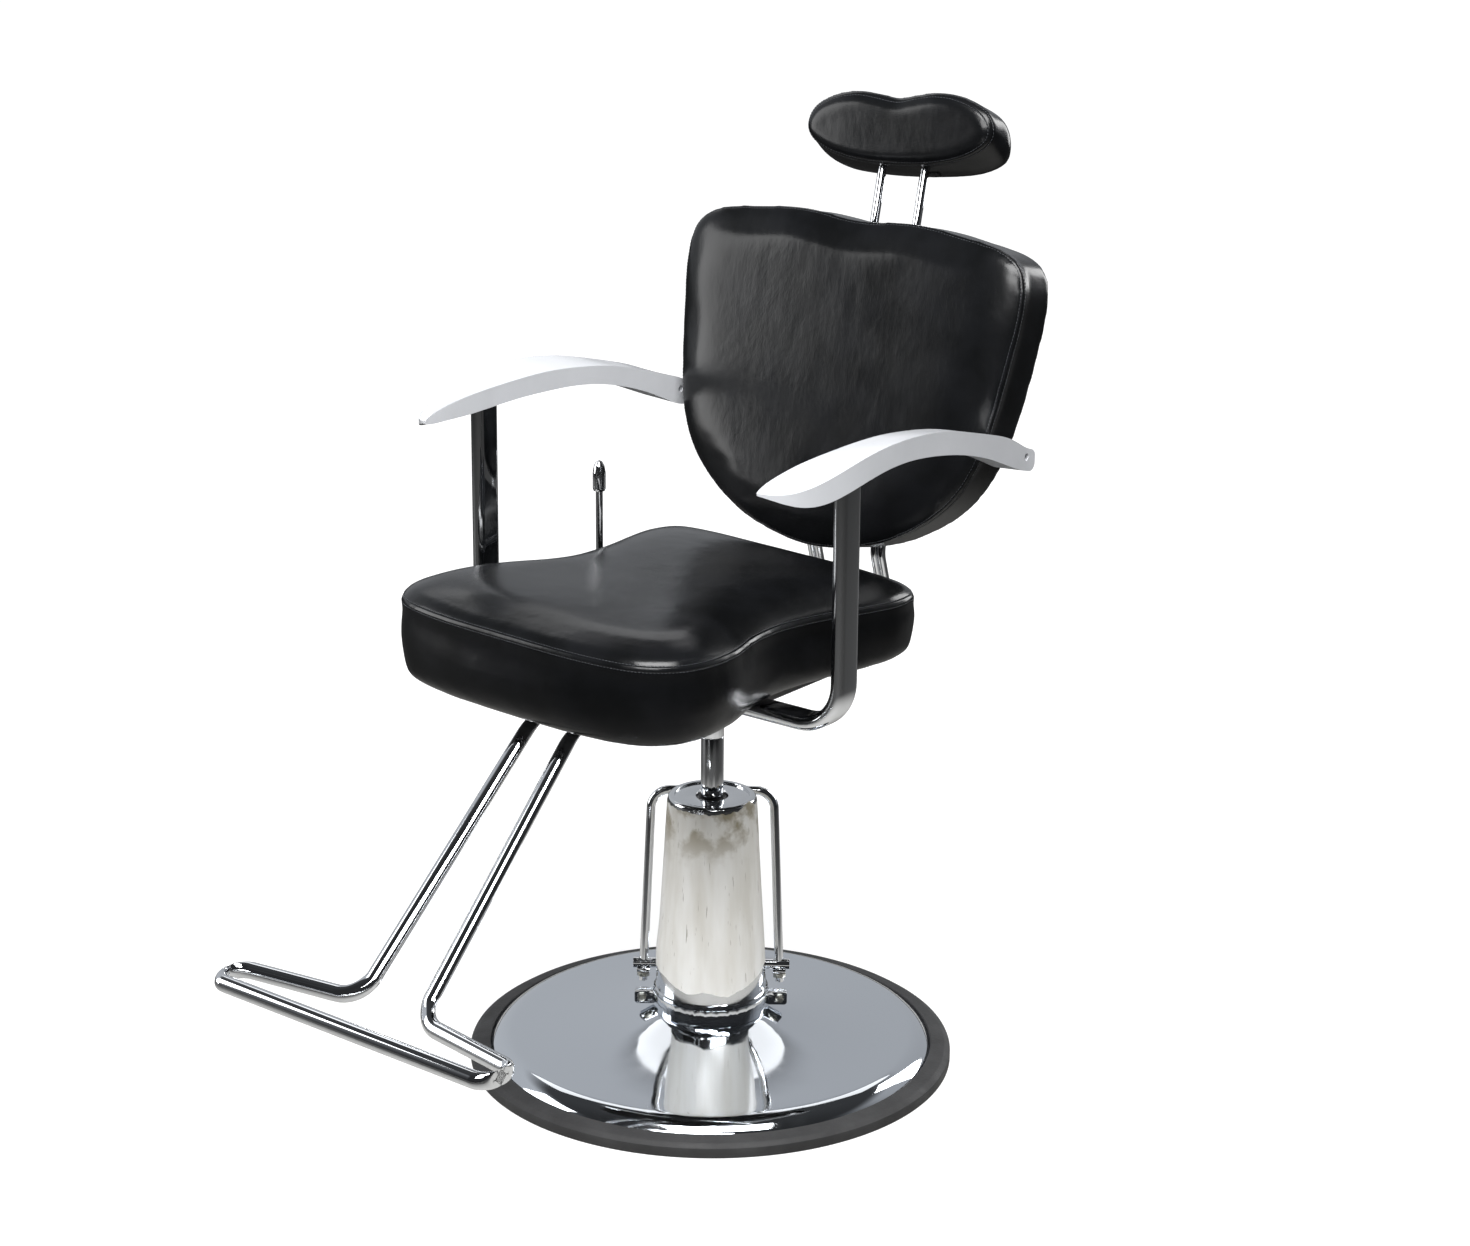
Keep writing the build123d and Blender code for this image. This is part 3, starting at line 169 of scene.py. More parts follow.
# %% Chrome
def chrome(name, colour, haze, ripple):
    made, tree, shader, place = new_finish(name, {
        "Base Color": paint(colour), "Metallic": 1.0})
    rough = patches(tree, place, 46, haze[0], haze[1], detail=4.0, edges=(0.42, 0.72))
    tree.links.new(rough, shader.inputs["Roughness"])
    wave = patches(tree, place, 70, 0.0, 1.0, detail=1.0, edges=(0.0, 1.0))
    relief(tree, shader, wave, ripple)
    return made


BASE_CHROME = chrome("chrome plate, spun dome", "#dfe3e8", (0.035, 0.10), 0.25)
BAR_CHROME = chrome("chrome plate, bent tube", "#e3e5e8", (0.03, 0.085), 0.03)
SLEEVE_CHROME = chrome("chrome plate, sleeve", "#dcdee0", (0.05, 0.16), 0.06)
print("chrome plates: 3")

# %% [markdown]
# ## Milky film on the sleeve
# The pump sleeve still wears most of the soft plastic film that protected its plate on the
# way from the factory. It is cream, faintly streaked down the cone, stained beige under the
# top edge and scratched. It is a thin dielectric, so it is not metallic, and its gloss is
# low and uneven. The streaks are noise stretched along Z; the scratches are a thresholded
# noise stretched much further at a slant.

# %% Film
def film():
    made, tree, shader, place = new_finish("polyethylene film, milky", {
        "Metallic": 0.0, "Coat Weight": 0.25, "Coat Roughness": 0.12})
    streak = patches(tree, place, 26, 0.0, 1.0, detail=3.0, stretch=(1.0, 1.0, 0.16))
    colour = tint(tree, streak, "#e8e5dd", "#fbfaf6")
    apart = add(tree, "ShaderNodeSeparateXYZ", {"Vector": place})
    stain = patches(tree, place, 30, 0.0, 1.0, detail=4.0, edges=(0.46, 0.62))
    high = add(tree, "ShaderNodeMapRange", {
        "Value": apart.outputs["Z"], "From Min": 0.262, "From Max": 0.318})
    both = add(tree, "ShaderNodeMath", {0: stain, 1: high.outputs[0]}, operation="MULTIPLY")
    stained = add(tree, "ShaderNodeMix", {
        "Factor": both.outputs[0], "A": colour, "B": paint("#a9a08a")}, data_type="RGBA")
    slant = add(tree, "ShaderNodeMapping", {
        "Vector": place, "Rotation": (0.0, 0.55, 0.3), "Scale": (1.0, 1.0, 0.05)})
    scratch = add(tree, "ShaderNodeTexNoise", {
        "Vector": slant.outputs[0], "Scale": 420.0, "Detail": 2.0})
    line = add(tree, "ShaderNodeMapRange", {
        "Value": scratch.outputs[0], "From Min": 0.69, "From Max": 0.73})
    marked = add(tree, "ShaderNodeMix", {
        "Factor": line.outputs[0], "A": stained.outputs["Result"], "B": paint("#b3aea3")},
        data_type="RGBA")
    tree.links.new(marked.outputs["Result"], shader.inputs["Base Color"])
    rough = patches(tree, place, 34, 0.28, 0.46, detail=3.0)
    tree.links.new(rough, shader.inputs["Roughness"])
    wrinkle = patches(tree, place, 18, 0.0, 1.0, detail=3.0, stretch=(1.0, 1.0, 0.3))
    relief(tree, shader, wrinkle, 0.35)
    return made


FILM = film()
print("film:", FILM.name)

# %% [markdown]
# ## Black leatherette
# The pads wear PVC leatherette: knitted cloth with a calendered black skin. The skin has a
# pebble grain about 1.3 mm across, too fine to see from a few metres, so it mostly softens
# the highlights. Broader are the soft creases where it is pulled over foam. Along each seam
# the skin stands up in a low welt between its two rows of stitches. The pads carry an attribute
# `seam`, the distance in mm from that line, so one finish serves every pad.

# %% Leatherette
def leatherette():
    made, tree, shader, place = new_finish("black PVC leatherette", {
        "Metallic": 0.0, "IOR": 1.46, "Specular IOR Level": 0.42})
    mottle = patches(tree, place, 55, 0.0, 1.0, detail=3.0)
    tree.links.new(tint(tree, mottle, "#0b0c0d", "#121315"), shader.inputs["Base Color"])
    rough = patches(tree, place, 80, 0.19, 0.25, detail=2.0)
    tree.links.new(rough, shader.inputs["Roughness"])
    crease = patches(tree, place, 34, 0.0, 1.0, detail=3.0, edges=(0.2, 0.8),
                     stretch=(1.0, 1.0, 0.55))
    soft = relief(tree, shader, crease, 0.5, 0.6)
    pebble = add(tree, "ShaderNodeTexVoronoi", {"Vector": place, "Scale": 1000 / 1.3},
                 feature="SMOOTH_F1")
    grain = relief(tree, shader, pebble.outputs["Distance"], 0.10, 0.5, under=soft)
    seam = add(tree, "ShaderNodeAttribute", attribute_name="seam").outputs["Fac"]
    away = add(tree, "ShaderNodeMath", {0: seam}, operation="ABSOLUTE").outputs[0]
    welt = add(tree, "ShaderNodeMapRange", {
        "Value": away, "From Min": 1.4, "From Max": 3.6, "To Min": 1.0, "To Max": 0.0},
        interpolation_type="SMOOTHSTEP")
    relief(tree, shader, welt.outputs[0], 0.9, 1.0, under=grain)
    return made


LEATHERETTE = leatherette()
print("leatherette:", LEATHERETTE.name)

# %% [markdown]
# ## Plastics, rubbers, paint, iron and wood
# The rest are plain shop finishes. Each is a base colour with a little variation, a
# roughness that changes in patches, and a relief at the scale of how it was made: sand
# marks on cast iron, orange peel in stoved paint, a fine tooth on moulded plastic, rings on
# turned steel. One function takes those numbers, and each call states a real thing.

# %% Plain finishes
def plain(name, dark, light, rough, size, depth, metallic=0.0, spread=60, **more):
    made, tree, shader, place = new_finish(name, {"Metallic": metallic, **more})
    colour = tint(tree, patches(tree, place, spread, 0.0, 1.0, detail=4.0), dark, light)
    tree.links.new(colour, shader.inputs["Base Color"])
    sheen = patches(tree, place, spread * 0.6, rough[0], rough[1], detail=4.0)
    tree.links.new(sheen, shader.inputs["Roughness"])
    relief(tree, shader, patches(tree, place, size, 0.0, 1.0, detail=2.0), depth)
    return made


RING_RUBBER = plain("moulded rubber, matt", "#242425", "#313132", (0.55, 0.72), 3.0, 0.08)
SEAL_RUBBER = plain("nitrile rubber, smooth", "#0d0d0d", "#161616", (0.35, 0.5), 4.0, 0.03)
PAD_PLASTIC = plain("ABS, silver lacquer, gloss", "#cfd1d5", "#d6d8dc", (0.16, 0.24), 1.6, 0.01,
                    spread=90)
PANEL_PLASTIC = plain("ABS, textured black", "#131314", "#1b1b1c", (0.5, 0.62), 1.1, 0.06)
FRAME_PAINT = plain("stoved black paint, satin", "#101011", "#191a1b", (0.32, 0.46), 2.2, 0.04)
CAST_IRON = plain("cast iron, oiled", "#3a3a3b", "#515152", (0.45, 0.62), 1.8, 0.12, 0.85)
GROUND_STEEL = plain("ground steel, oiled", "#a3a3a4", "#b7b7b8", (0.14, 0.26), 0.8, 0.01, 1.0)
ZINC = plain("zinc plated steel", "#a5a59e", "#bdbdb6", (0.22, 0.36), 1.2, 0.02, 1.0)
PLYWOOD = plain("birch plywood, raw", "#a58657", "#bf9f6c", (0.6, 0.75), 1.0, 0.05)
DUST_CLOTH = plain("non-woven dust cloth, black", "#0b0b0c", "#141415", (0.8, 0.95), 0.8, 0.08)
THREAD = plain("bonded nylon thread, black", "#2b2d31", "#3c3f44", (0.35, 0.5), 0.5, 0.05,
               spread=8)
print("plain finishes: 11")

# %% [markdown]
# ## CAD parts that keep their own shape
# Plates, nuts, blocks and pump parts are already right, so they only need their finish and
# softened edges. No real edge is a perfect knife: a tiny bevel catches the light. The CAD
# mesh is loose triangles, so a Weld modifier joins them first, and the bevel hardens the
# normals so that flat faces stay flat.

# %% Finish the CAD parts
KEPT = {
    "base_spider": (FRAME_PAINT, 0.6), "pump_body": (CAST_IRON, 0.8),
    "pump_bolts": (ZINC, 0.4), "pump_jacket": (CAST_IRON, 0.0), "pump_barrel": (GROUND_STEEL, 0.0),
    "pump_head": (CAST_IRON, 0.5), "rod_seal": (SEAL_RUBBER, 0.0),
    "sleeve_cap": (SLEEVE_CHROME, 0.3), "clamp_half_front": (BASE_CHROME, 0.5),
    "clamp_half_rear": (BASE_CHROME, 0.5), "clamp_bolts": (ZINC, 0.3),
    "piston": (GROUND_STEEL, 0.3), "piston_seals": (SEAL_RUBBER, 0.0),
    "thrust_washer": (GROUND_STEEL, 0.2), "ram": (BAR_CHROME, 0.3),
    "pedal_shaft": (BAR_CHROME, 0.5), "pedal_saddles": (BAR_CHROME, 0.3),
    "pedal_nuts": (ZINC, 0.3), "pedal_cam": (GROUND_STEEL, 0.4),
    "pump_plunger": (GROUND_STEEL, 0.2), "plunger_spring": (GROUND_STEEL, 0.0),
    "seat_plate": (FRAME_PAINT, 0.5), "seat_bolts": (ZINC, 0.4), "seat_board": (DUST_CLOTH, 0.5),
    "arm_bolts": (ZINC, 0.4), "arm_pad_left": (PAD_PLASTIC, 0.0),
    "arm_pad_right": (PAD_PLASTIC, 0.0), "footrest_clamp": (FRAME_PAINT, 0.5),
    "hinge_bracket_left": (FRAME_PAINT, 0.5), "hinge_bracket_right": (FRAME_PAINT, 0.5),
    "hinge_shaft": (BAR_CHROME, 0.4), "back_bow_left": (BAR_CHROME, 0.0),
    "back_bow_right": (BAR_CHROME, 0.0), "bow_plates": (FRAME_PAINT, 0.6),
    "bow_straps": (ZINC, 0.3), "back_board": (PLYWOOD, 0.4), "back_panel": (PANEL_PLASTIC, 0.8),
    "recline_crank": (GROUND_STEEL, 0.4), "lock_rod": (GROUND_STEEL, 0.3),
    "lock_body": (FRAME_PAINT, 0.4), "lever_bearing": (FRAME_PAINT, 0.3),
    "lever_knob": (BAR_CHROME, 0.0), "headrest_rods": (BAR_CHROME, 0.5),
    "headrest_block_lower": (PANEL_PLASTIC, 0.4), "headrest_block_upper": (PANEL_PLASTIC, 0.4),
    "headrest_board": (DUST_CLOTH, 0.3),
}


def soften(node, material, bevel):
    """Weld a CAD part's triangles, round its edges by `bevel` mm and shade it."""
    part = NODES[node]
    part.data.materials.clear()
    part.data.materials.append(material)
    for face in part.data.polygons:
        face.use_smooth = True
        face.material_index = 0
    weld = part.modifiers.new("weld", "WELD")
    weld.merge_threshold = 0.00002
    if bevel:
        edge = part.modifiers.new("edge", "BEVEL")
        edge.width = bevel * MM
        edge.segments = 2
        edge.angle_limit = math.radians(38)
        edge.harden_normals = True
        edge.use_clamp_overlap = True
    else:
        edge = part.modifiers.new("edge", "EDGE_SPLIT")
        edge.split_angle = math.radians(32)


for node, (material, bevel) in KEPT.items():
    soften(node, material, bevel)
print("CAD parts finished:", len(KEPT))

# %% [markdown]
# ## Making pieces
# A finished piece is an object at the origin whose mesh holds its place, and it must ride on
# a body. These two functions do that for every piece below, and bake a modifier stack into a
# plain mesh where one was used.

# %% Piece helpers
def baked(thing):
    """The mesh of an object with its modifiers worked in. The object itself goes."""
    graph = bpy.context.evaluated_depsgraph_get()
    mesh = bpy.data.meshes.new_from_object(thing.evaluated_get(graph), depsgraph=graph)
    bpy.data.objects.remove(thing)
    return mesh


def put(mesh, name):
    thing = bpy.data.objects.new(name, mesh)
    scene.collection.objects.link(thing)
    return thing


def piece(name, mesh, body, material, instead_of=(), sharp=38):
    """Show a mesh as a finished piece of the chair."""
    mesh.materials.clear()
    mesh.materials.append(material)
    for face in mesh.polygons:
        face.use_smooth = True
        face.material_index = 0
    if sharp:
        mesh.set_sharp_from_angle(angle=math.radians(sharp))
    made = put(mesh, name)
    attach(made, body)
    if instead_of:
        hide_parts(*instead_of)
    print(name, "faces:", len(mesh.polygons))
    return made


def mesh_of(name, spots, faces, edges=()):
    """A mesh from points in mm."""
    mesh = bpy.data.meshes.new(name)
    mesh.from_pydata([[c * MM for c in spot] for spot in spots], edges, faces)
    return mesh


def block(low, high):
    """A plain box between two corners in mm."""
    spots = [(x, y, z) for x in (low[0], high[0]) for y in (low[1], high[1])
             for z in (low[2], high[2])]
    return mesh_of("block", spots, [(0, 1, 3, 2), (4, 6, 7, 5), (0, 4, 5, 1), (2, 3, 7, 6),
                                    (0, 2, 6, 4), (1, 5, 7, 3)])


def join(meshes):
    """Several meshes as one."""
    shape = bmesh.new()
    for mesh in meshes:
        shape.from_mesh(mesh)
    made = bpy.data.meshes.new("joined")
    shape.to_mesh(made)
    return made


# %% [markdown]
# ## Bent tubes by Geometry Nodes
# A tube bender takes a straight tube and a list of corners, each with its bend radius. A
# node tree can do just that: the mesh gives the corners, an attribute holds each radius,
# Fillet Curve rounds them and Curve to Mesh sweeps the section. The section is a rounded
# rectangle, which is a circle when its sides equal its width, so round bars and the flat
# oval arm tubes share one tree.

# %% The bent tube tree
def new_tree(name, *inputs):
    """A Geometry Nodes tree with named inputs, and its entry node."""
    tree = bpy.data.node_groups.new(name, "GeometryNodeTree")
    tree.interface.new_socket("Geometry", in_out="INPUT", socket_type="NodeSocketGeometry")
    for label, kind in inputs:
        tree.interface.new_socket(label, in_out="INPUT", socket_type="NodeSocket" + kind)
    tree.interface.new_socket("Geometry", in_out="OUTPUT", socket_type="NodeSocketGeometry")
    return tree, add(tree, "NodeGroupInput").outputs


def grow(mesh, tree, **values):
    """Run a tree on a mesh with its inputs set, and return the plain mesh it makes."""
    seed = put(mesh, "seed")
    modifier = seed.modifiers.new(tree.name, "NODES")
    for item in tree.interface.items_tree:
        if item.in_out == "INPUT" and item.name in values:
            if modifier.node_group is None:
                modifier.node_group = tree
            modifier[item.identifier] = values[item.name]
    return baked(seed)


def tube_tree():
    tree, given = new_tree("bent tube", ("Width", "Float"), ("Depth", "Float"),
                           ("Across", "Vector"), ("Material", "Material"))
    line = add(tree, "GeometryNodeMeshToCurve", {"Mesh": given["Geometry"]}).outputs[0]
    bend = add(tree, "GeometryNodeInputNamedAttribute", {"Name": "bend"}, data_type="FLOAT")
    bent = add(tree, "GeometryNodeFilletCurve", {
        "Curve": line, "Radius": bend.outputs[0], "Limit Radius": True, "Count": 20},
        mode="POLY").outputs[0]
    held = add(tree, "GeometryNodeSetCurveNormal", {
        "Curve": bent, "Normal": given["Across"]}, mode="FREE").outputs[0]
    outline = add(tree, "GeometryNodeCurvePrimitiveQuadrilateral", {
        "Width": given["Width"], "Height": given["Depth"]}).outputs[0]
    least = add(tree, "ShaderNodeMath", {0: given["Width"], 1: given["Depth"]},
                operation="MINIMUM").outputs[0]
    half = add(tree, "ShaderNodeMath", {0: least, 1: 0.49995}, operation="MULTIPLY").outputs[0]
    section = add(tree, "GeometryNodeFilletCurve", {
        "Curve": outline, "Radius": half, "Limit Radius": True, "Count": 9},
        mode="POLY").outputs[0]
    skin = add(tree, "GeometryNodeCurveToMesh", {
        "Curve": held, "Profile Curve": section, "Fill Caps": True}).outputs[0]
    real = add(tree, "GeometryNodeRealizeInstances", {"Geometry": skin}).outputs[0]
    dressed = add(tree, "GeometryNodeSetMaterial", {
        "Geometry": real, "Material": given["Material"]}).outputs[0]
    add(tree, "NodeGroupOutput", {"Geometry": dressed})
    return tree


TUBE = tube_tree()


def bent(corners, bends, width, depth=None, across=(0, 1, 0), material=BAR_CHROME):
    """A tube through corners in mm; bends holds the radius at each inner corner."""
    count = len(corners)
    wire = mesh_of("wire", corners, (), [(k, k + 1) for k in range(count - 1)])
    radius = wire.attributes.new("bend", "FLOAT", "POINT")
    for k, value in enumerate([0, *bends, 0]):
        radius.data[k].value = value * MM
    made = grow(wire, TUBE, Width=width * MM, Depth=(depth or width) * MM,
                Across=across, Material=material)
    shape = bmesh.new()
    shape.from_mesh(made)
    bmesh.ops.remove_doubles(shape, verts=shape.verts, dist=1e-6)
    bmesh.ops.recalc_face_normals(shape, faces=shape.faces)
    shape.to_mesh(made)
    return made


print("tree:", TUBE.name)

# %% [markdown]
# ## The footrest, the arm tubes and the pedal
# The corners and radii below are the drawing's own. The footrest is one 20 mm tube in a
# long U with two wide feet, and the arm tubes are flat ovals of 38 x 18 mm. The pedal is an
# 11 mm bar that stands turned with the pump.

# %% Bend them


def turned_by(mesh, degrees, centre=(0, 0, 0)):
    """Turn a mesh about a vertical line, in place."""
    here = Vector(centre) * MM
    turn = Matrix.Rotation(math.radians(degrees), 4, "Z")
    mesh.transform(Matrix.Translation(here) @ turn @ Matrix.Translation(-here))
    return mesh


leg = [(28, -138, 515), (31, -286, 515), (45.5, -564, 250), (210, -589.5, 250), (210, -632, 250)]
loop = leg + [(-x, y, z) for x, y, z in reversed(leg)]
radii = [60, 38, 18.5, 18.5]
footrest = turned_by(bent(loop, radii + radii[::-1], 20), -1.0, (0, -138, 0))
piece("footrest_bar", footrest, "seat", BAR_CHROME, ["footrest_tube"])

for side, name in ((1, "left"), (-1, "right")):
    run = [(side * 52, -105, 516), (side * 271.8, -105, 516), (side * 271.8, -105, 820)]
    piece("arm_post_" + name, bent(run, [55], 38, 18), "seat", BAR_CHROME,
          ["arm_tube_" + name])

PUMP_TURN = 37.5
lower = 22 / math.hypot(9, 32, 220)
foot = (85 + lower * 9, 36 - lower * 32, 102 - lower * 220)
hoop = [(-foot[0], foot[1], foot[2]), (-76, 68, 322), (76, 68, 322), foot]
pedal = turned_by(bent(hoop, [24, 24], 11), PUMP_TURN)
piece("pedal_hoop", pedal, "pedal", BAR_CHROME, ["pedal_bar"])

lever = join([bent([(-18, 60, 514), (-230, 60, 514), (-230, 60, 680)], [22], 9),
              block((-26, 56, 488), (-18, 64, 514))])
piece("lever_rod", lever, "lever", BAR_CHROME, ["recline_lever"])

# %% [markdown]
# ## Turned pieces: dome, ring, sleeve
# The dome and the sleeve are spun sheet, so each is a line turned about the swivel axis. A
# lathe of many steps keeps the mirror free of flats. Curved lines go through a few stations
# with a smooth interpolation, and every line closes on itself, so walls have thickness.

# %% Lathe
def flow(spots, per=8, closed=False):
    """A smooth line through points of any dimension (Catmull-Rom)."""
    spots = [Vector(s) for s in spots]
    count = len(spots)
    line = []
    for k in range(count if closed else count - 1):
        if closed:
            a, b, c, d = (spots[(k + j) % count] for j in (-1, 0, 1, 2))
        else:
            b, c = spots[k], spots[k + 1]
            a = spots[k - 1] if k else b * 2 - c
            d = spots[k + 2] if k + 2 < count else c * 2 - b
        for j in range(per):
            t = j / per
            line.append(0.5 * (2 * b + (c - a) * t + (2 * a - 5 * b + 4 * c - d) * t * t
                               + (3 * b - a - 3 * c + d) * t ** 3))
    return line if closed else line + [spots[-1]]


def lathe(line, steps=160):
    """A closed line of (radius, height) in mm, turned about Z."""
    count = len(line)
    spots = [(r * math.cos(2 * math.pi * s / steps), r * math.sin(2 * math.pi * s / steps), z)
             for s in range(steps) for r, z in line]
    faces = [(s * count + k, (s + 1) % steps * count + k,
              (s + 1) % steps * count + (k + 1) % count, s * count + (k + 1) % count)
             for s in range(steps) for k in range(count)]
    mesh = mesh_of("turned", spots, faces)
    shape = bmesh.new()
    shape.from_mesh(mesh)
    bmesh.ops.recalc_face_normals(shape, faces=shape.faces)
    shape.to_mesh(mesh)
    return mesh


# %% The dome and its rubber ring
def dome_line(wall):
    edge = 275 - wall
    rim = [(edge, 15.4 - wall), (edge - 4.2, 20.4 - wall), (edge - 9.5, 24.9 - wall),
           (edge - 15.5, 28.4 - wall), (edge - 21.5, 30.6 - wall), (edge - 27, 31.6 - wall)]
    flare = [(238, 32.5), (215, 34.4), (190, 37.0), (165, 40.2), (142, 43.9), (120, 48.3),
             (101, 53.0), (87, 57.0), (76, 60.4), (71, 61.8)]
    return flow(rim + [(r, z - wall) for r, z in flare], per=5)


outer = [(275, 8)] + [tuple(s) for s in dome_line(0)]
inner = [tuple(s) for s in dome_line(1.6)][::-1] + [(273.4, 8)]
dome = outer + [(70.4, 62), (65, 62), (65, 60)] + inner
piece("dome_shell", lathe(dome, 256), "base", BASE_CHROME, ["base_dome"])

ring = [(258, 0), (299.2, 0), (300, 0.8), (300, 11), (299.4, 12.4), (297, 13.6), (294, 16.0),
        (291.5, 16.9), (279, 19.3), (276.4, 19.8), (275.05, 19.0), (275.05, 8), (258, 8)]
piece("floor_ring", lathe(ring, 192), "base", RING_RUBBER, ["base_rubber_ring"])

# %% [markdown]
# ## The sleeve and its film
# The sleeve is a skirt, a bead and a long cone with a rolled lip. Two ports let the pedal
# shaft through, so two short cylinders cut it. The film is a separate sheet a few tenths of
# a millimetre off the cone. Its edges are torn: low down it stops short of the bead in a
# wavy line, and at the top a corner has lifted.

# %% Sleeve
def cone_at(z):
    """Outer radius of the sleeve's cone at a height, in mm."""
    return 69 + (54.3 - 69) * (z - 90) / (339 - 90)


sleeve_line = [(69, 62), (69, 83.6), (69.8, 84.4), (71, 85), (71, 89), (69.8, 89.8), (69, 90.6),
               (54.3, 338), (53.9, 339.8), (52.9, 341.2), (51.3, 342), (46.3, 342),
               (46.3, 340.5), (50.7, 340.5), (52.8, 338.4), (67.5, 90), (67.5, 62)]
shell = put(lathe(sleeve_line, 160), "shell")
for side in (-1, 1):
    bore = lathe([(0.01, -20), (9.5, -20), (9.5, 20), (0.01, 20)], 40)
    bore.transform(Matrix.Rotation(math.radians(90), 4, "Y"))
    bore.transform(Matrix.Translation(Vector((side * 60, 36, 102)) * MM))
    turned_by(bore, PUMP_TURN)
    cutter = put(bore, "cutter")
    cut = shell.modifiers.new("port", "BOOLEAN")
    cut.object = cutter
    cut.solver = "EXACT"
sleeve = baked(shell)
for cutter in [o for o in scene.objects if o.name.startswith("cutter")]:
    bpy.data.objects.remove(cutter)
piece("sleeve_shell", sleeve, "base", SLEEVE_CHROME, ["pump_sleeve"])

# %% Film sheet
FRONT = math.radians(-52.1)
ROUND, TALL = 220, 70


def film_edges(angle):
    """Lower and upper edge of the film at an angle round the sleeve, in mm."""
    off = (angle - FRONT + math.pi) % (2 * math.pi) - math.pi
    wave = noise.noise((2.2 * math.cos(angle), 2.2 * math.sin(angle), 0.4))
    fine = noise.noise((9 * math.cos(angle), 9 * math.sin(angle), 3.1))
    side = min(1.0, abs(off) / 1.3)
    low = 104 + 15 * side ** 2 + 6 * wave + 1.6 * fine
    lift = math.exp(-((off - 0.95) / 0.22) ** 2)
    high = 335.5 + 2.5 * fine + 9 * lift
    return low, high, off


spots, faces = [], []
for i in range(ROUND):
    angle = 2 * math.pi * i / ROUND
    low, high, off = film_edges(angle)
    for j in range(TALL + 1):
        z = low + (high - low) * j / TALL
        bulge = noise.noise((3 * math.cos(angle), 3 * math.sin(angle), z / 60))
        loose = math.exp(-((off + 1.25) / 0.35) ** 2) * math.exp(-((z - 140) / 26) ** 2)
        r = cone_at(min(z, 338)) + 0.5 + 0.35 * max(0.0, bulge) + 2.6 * loose
        spots.append((r * math.cos(angle), r * math.sin(angle), z))
for i in range(ROUND):
    for j in range(TALL):
        a, b = i * (TALL + 1) + j, (i + 1) % ROUND * (TALL + 1) + j
        faces.append((a, b, b + 1, a + 1))
sheet = put(mesh_of("sheet", spots, faces), "sheet")
thick = sheet.modifiers.new("thick", "SOLIDIFY")
thick.thickness = 0.2 * MM
thick.offset = -1.0
piece("sleeve_film", baked(sheet), "base", FILM)

# %% [markdown]
# ## The three pads
# A pad is foam on a board with a sewn cover pulled over it. First comes its block of foam: a
# stack of outlines, each a smooth closed line through a few stations, lofted into a closed
# solid. A voxel remesh turns that into an even net, the cloth solver blows it up like a
# tight cover, and the movement is held to a few millimetres so that it still fits its
# space. A subdivision then smooths it. The seams come after, because the remesh erases them.

# %% Outlines and lofts
def plan(half, inset=0.0, shrink=1.0, centre=(0, 0), per=8):
    """A closed outline from the points of its right half, moved in by an inset."""
    left = [(-x, y) for x, y in reversed(half[1:-1])]
    rim = flow(half + left, per, closed=True)
    moved = []
    for k, spot in enumerate(rim):
        along = (rim[(k + 1) % len(rim)] - rim[k - 1]).normalized()
        moved.append(((spot.x - along.y * inset - centre[0]) * shrink + centre[0],
                      (spot.y + along.x * inset - centre[1]) * shrink + centre[1]))
    return moved


def loft(rings, per=4):
    """A closed solid through a stack of rings of points in mm."""
    count = len(rings[0])
    columns = [flow([ring[k] for ring in rings], per) for k in range(count)]
    levels = len(columns[0])
    spots = [columns[k][j] for j in range(levels) for k in range(count)]
    faces = [(j * count + k, j * count + (k + 1) % count,
              (j + 1) * count + (k + 1) % count, (j + 1) * count + k)
             for j in range(levels - 1) for k in range(count)]
    for ring in (range(count), range((levels - 1) * count, levels * count)):
        faces.append(tuple(ring))
    mesh = mesh_of("foam", spots, faces)
    shape = bmesh.new()
    shape.from_mesh(mesh)
    bmesh.ops.triangulate(shape, faces=[f for f in shape.faces if len(f.verts) > 4])
    bmesh.ops.recalc_face_normals(shape, faces=shape.faces)
    shape.to_mesh(mesh)
    return mesh


# %% Swell a pad
def even_out(reach, edges, turns):
    """Average a vector on every vertex with its neighbours, a number of times."""
    near = np.bincount(edges.ravel(), minlength=len(reach))[:, None]
    for _ in range(turns):
        total = np.zeros_like(reach)
        np.add.at(total, edges[:, 0], reach[edges[:, 1]])
        np.add.at(total, edges[:, 1], reach[edges[:, 0]])
        reach = (reach + total / near) / 2
    return reach


def blow_up(block, pressure, held):
    """How far the cloth solver moves each vertex of a closed cover under pressure."""
    start = np.array([v.co for v in block.data.vertices])
    fixed = block.vertex_groups.new(name="fixed")
    fixed.add([v.index for v in block.data.vertices if held(v.co / MM)], 1.0, "REPLACE")
    cloth = block.modifiers.new("cover", "CLOTH")
    cover = cloth.settings
    cover.vertex_group_mass = "fixed"
    cover.quality = 4
    cover.use_pressure = True
    cover.uniform_pressure_force = pressure
    cover.effector_weights.gravity = 0.0
    cloth.point_cache.frame_end = 20
    for step in range(1, 21):
        scene.frame_set(step)
    blown = block.evaluated_get(bpy.context.evaluated_depsgraph_get()).to_mesh()
    reach = np.array([v.co for v in blown.vertices]) - start
    block.modifiers.clear()
    block.vertex_groups.clear()
    scene.frame_set(1)
    return reach


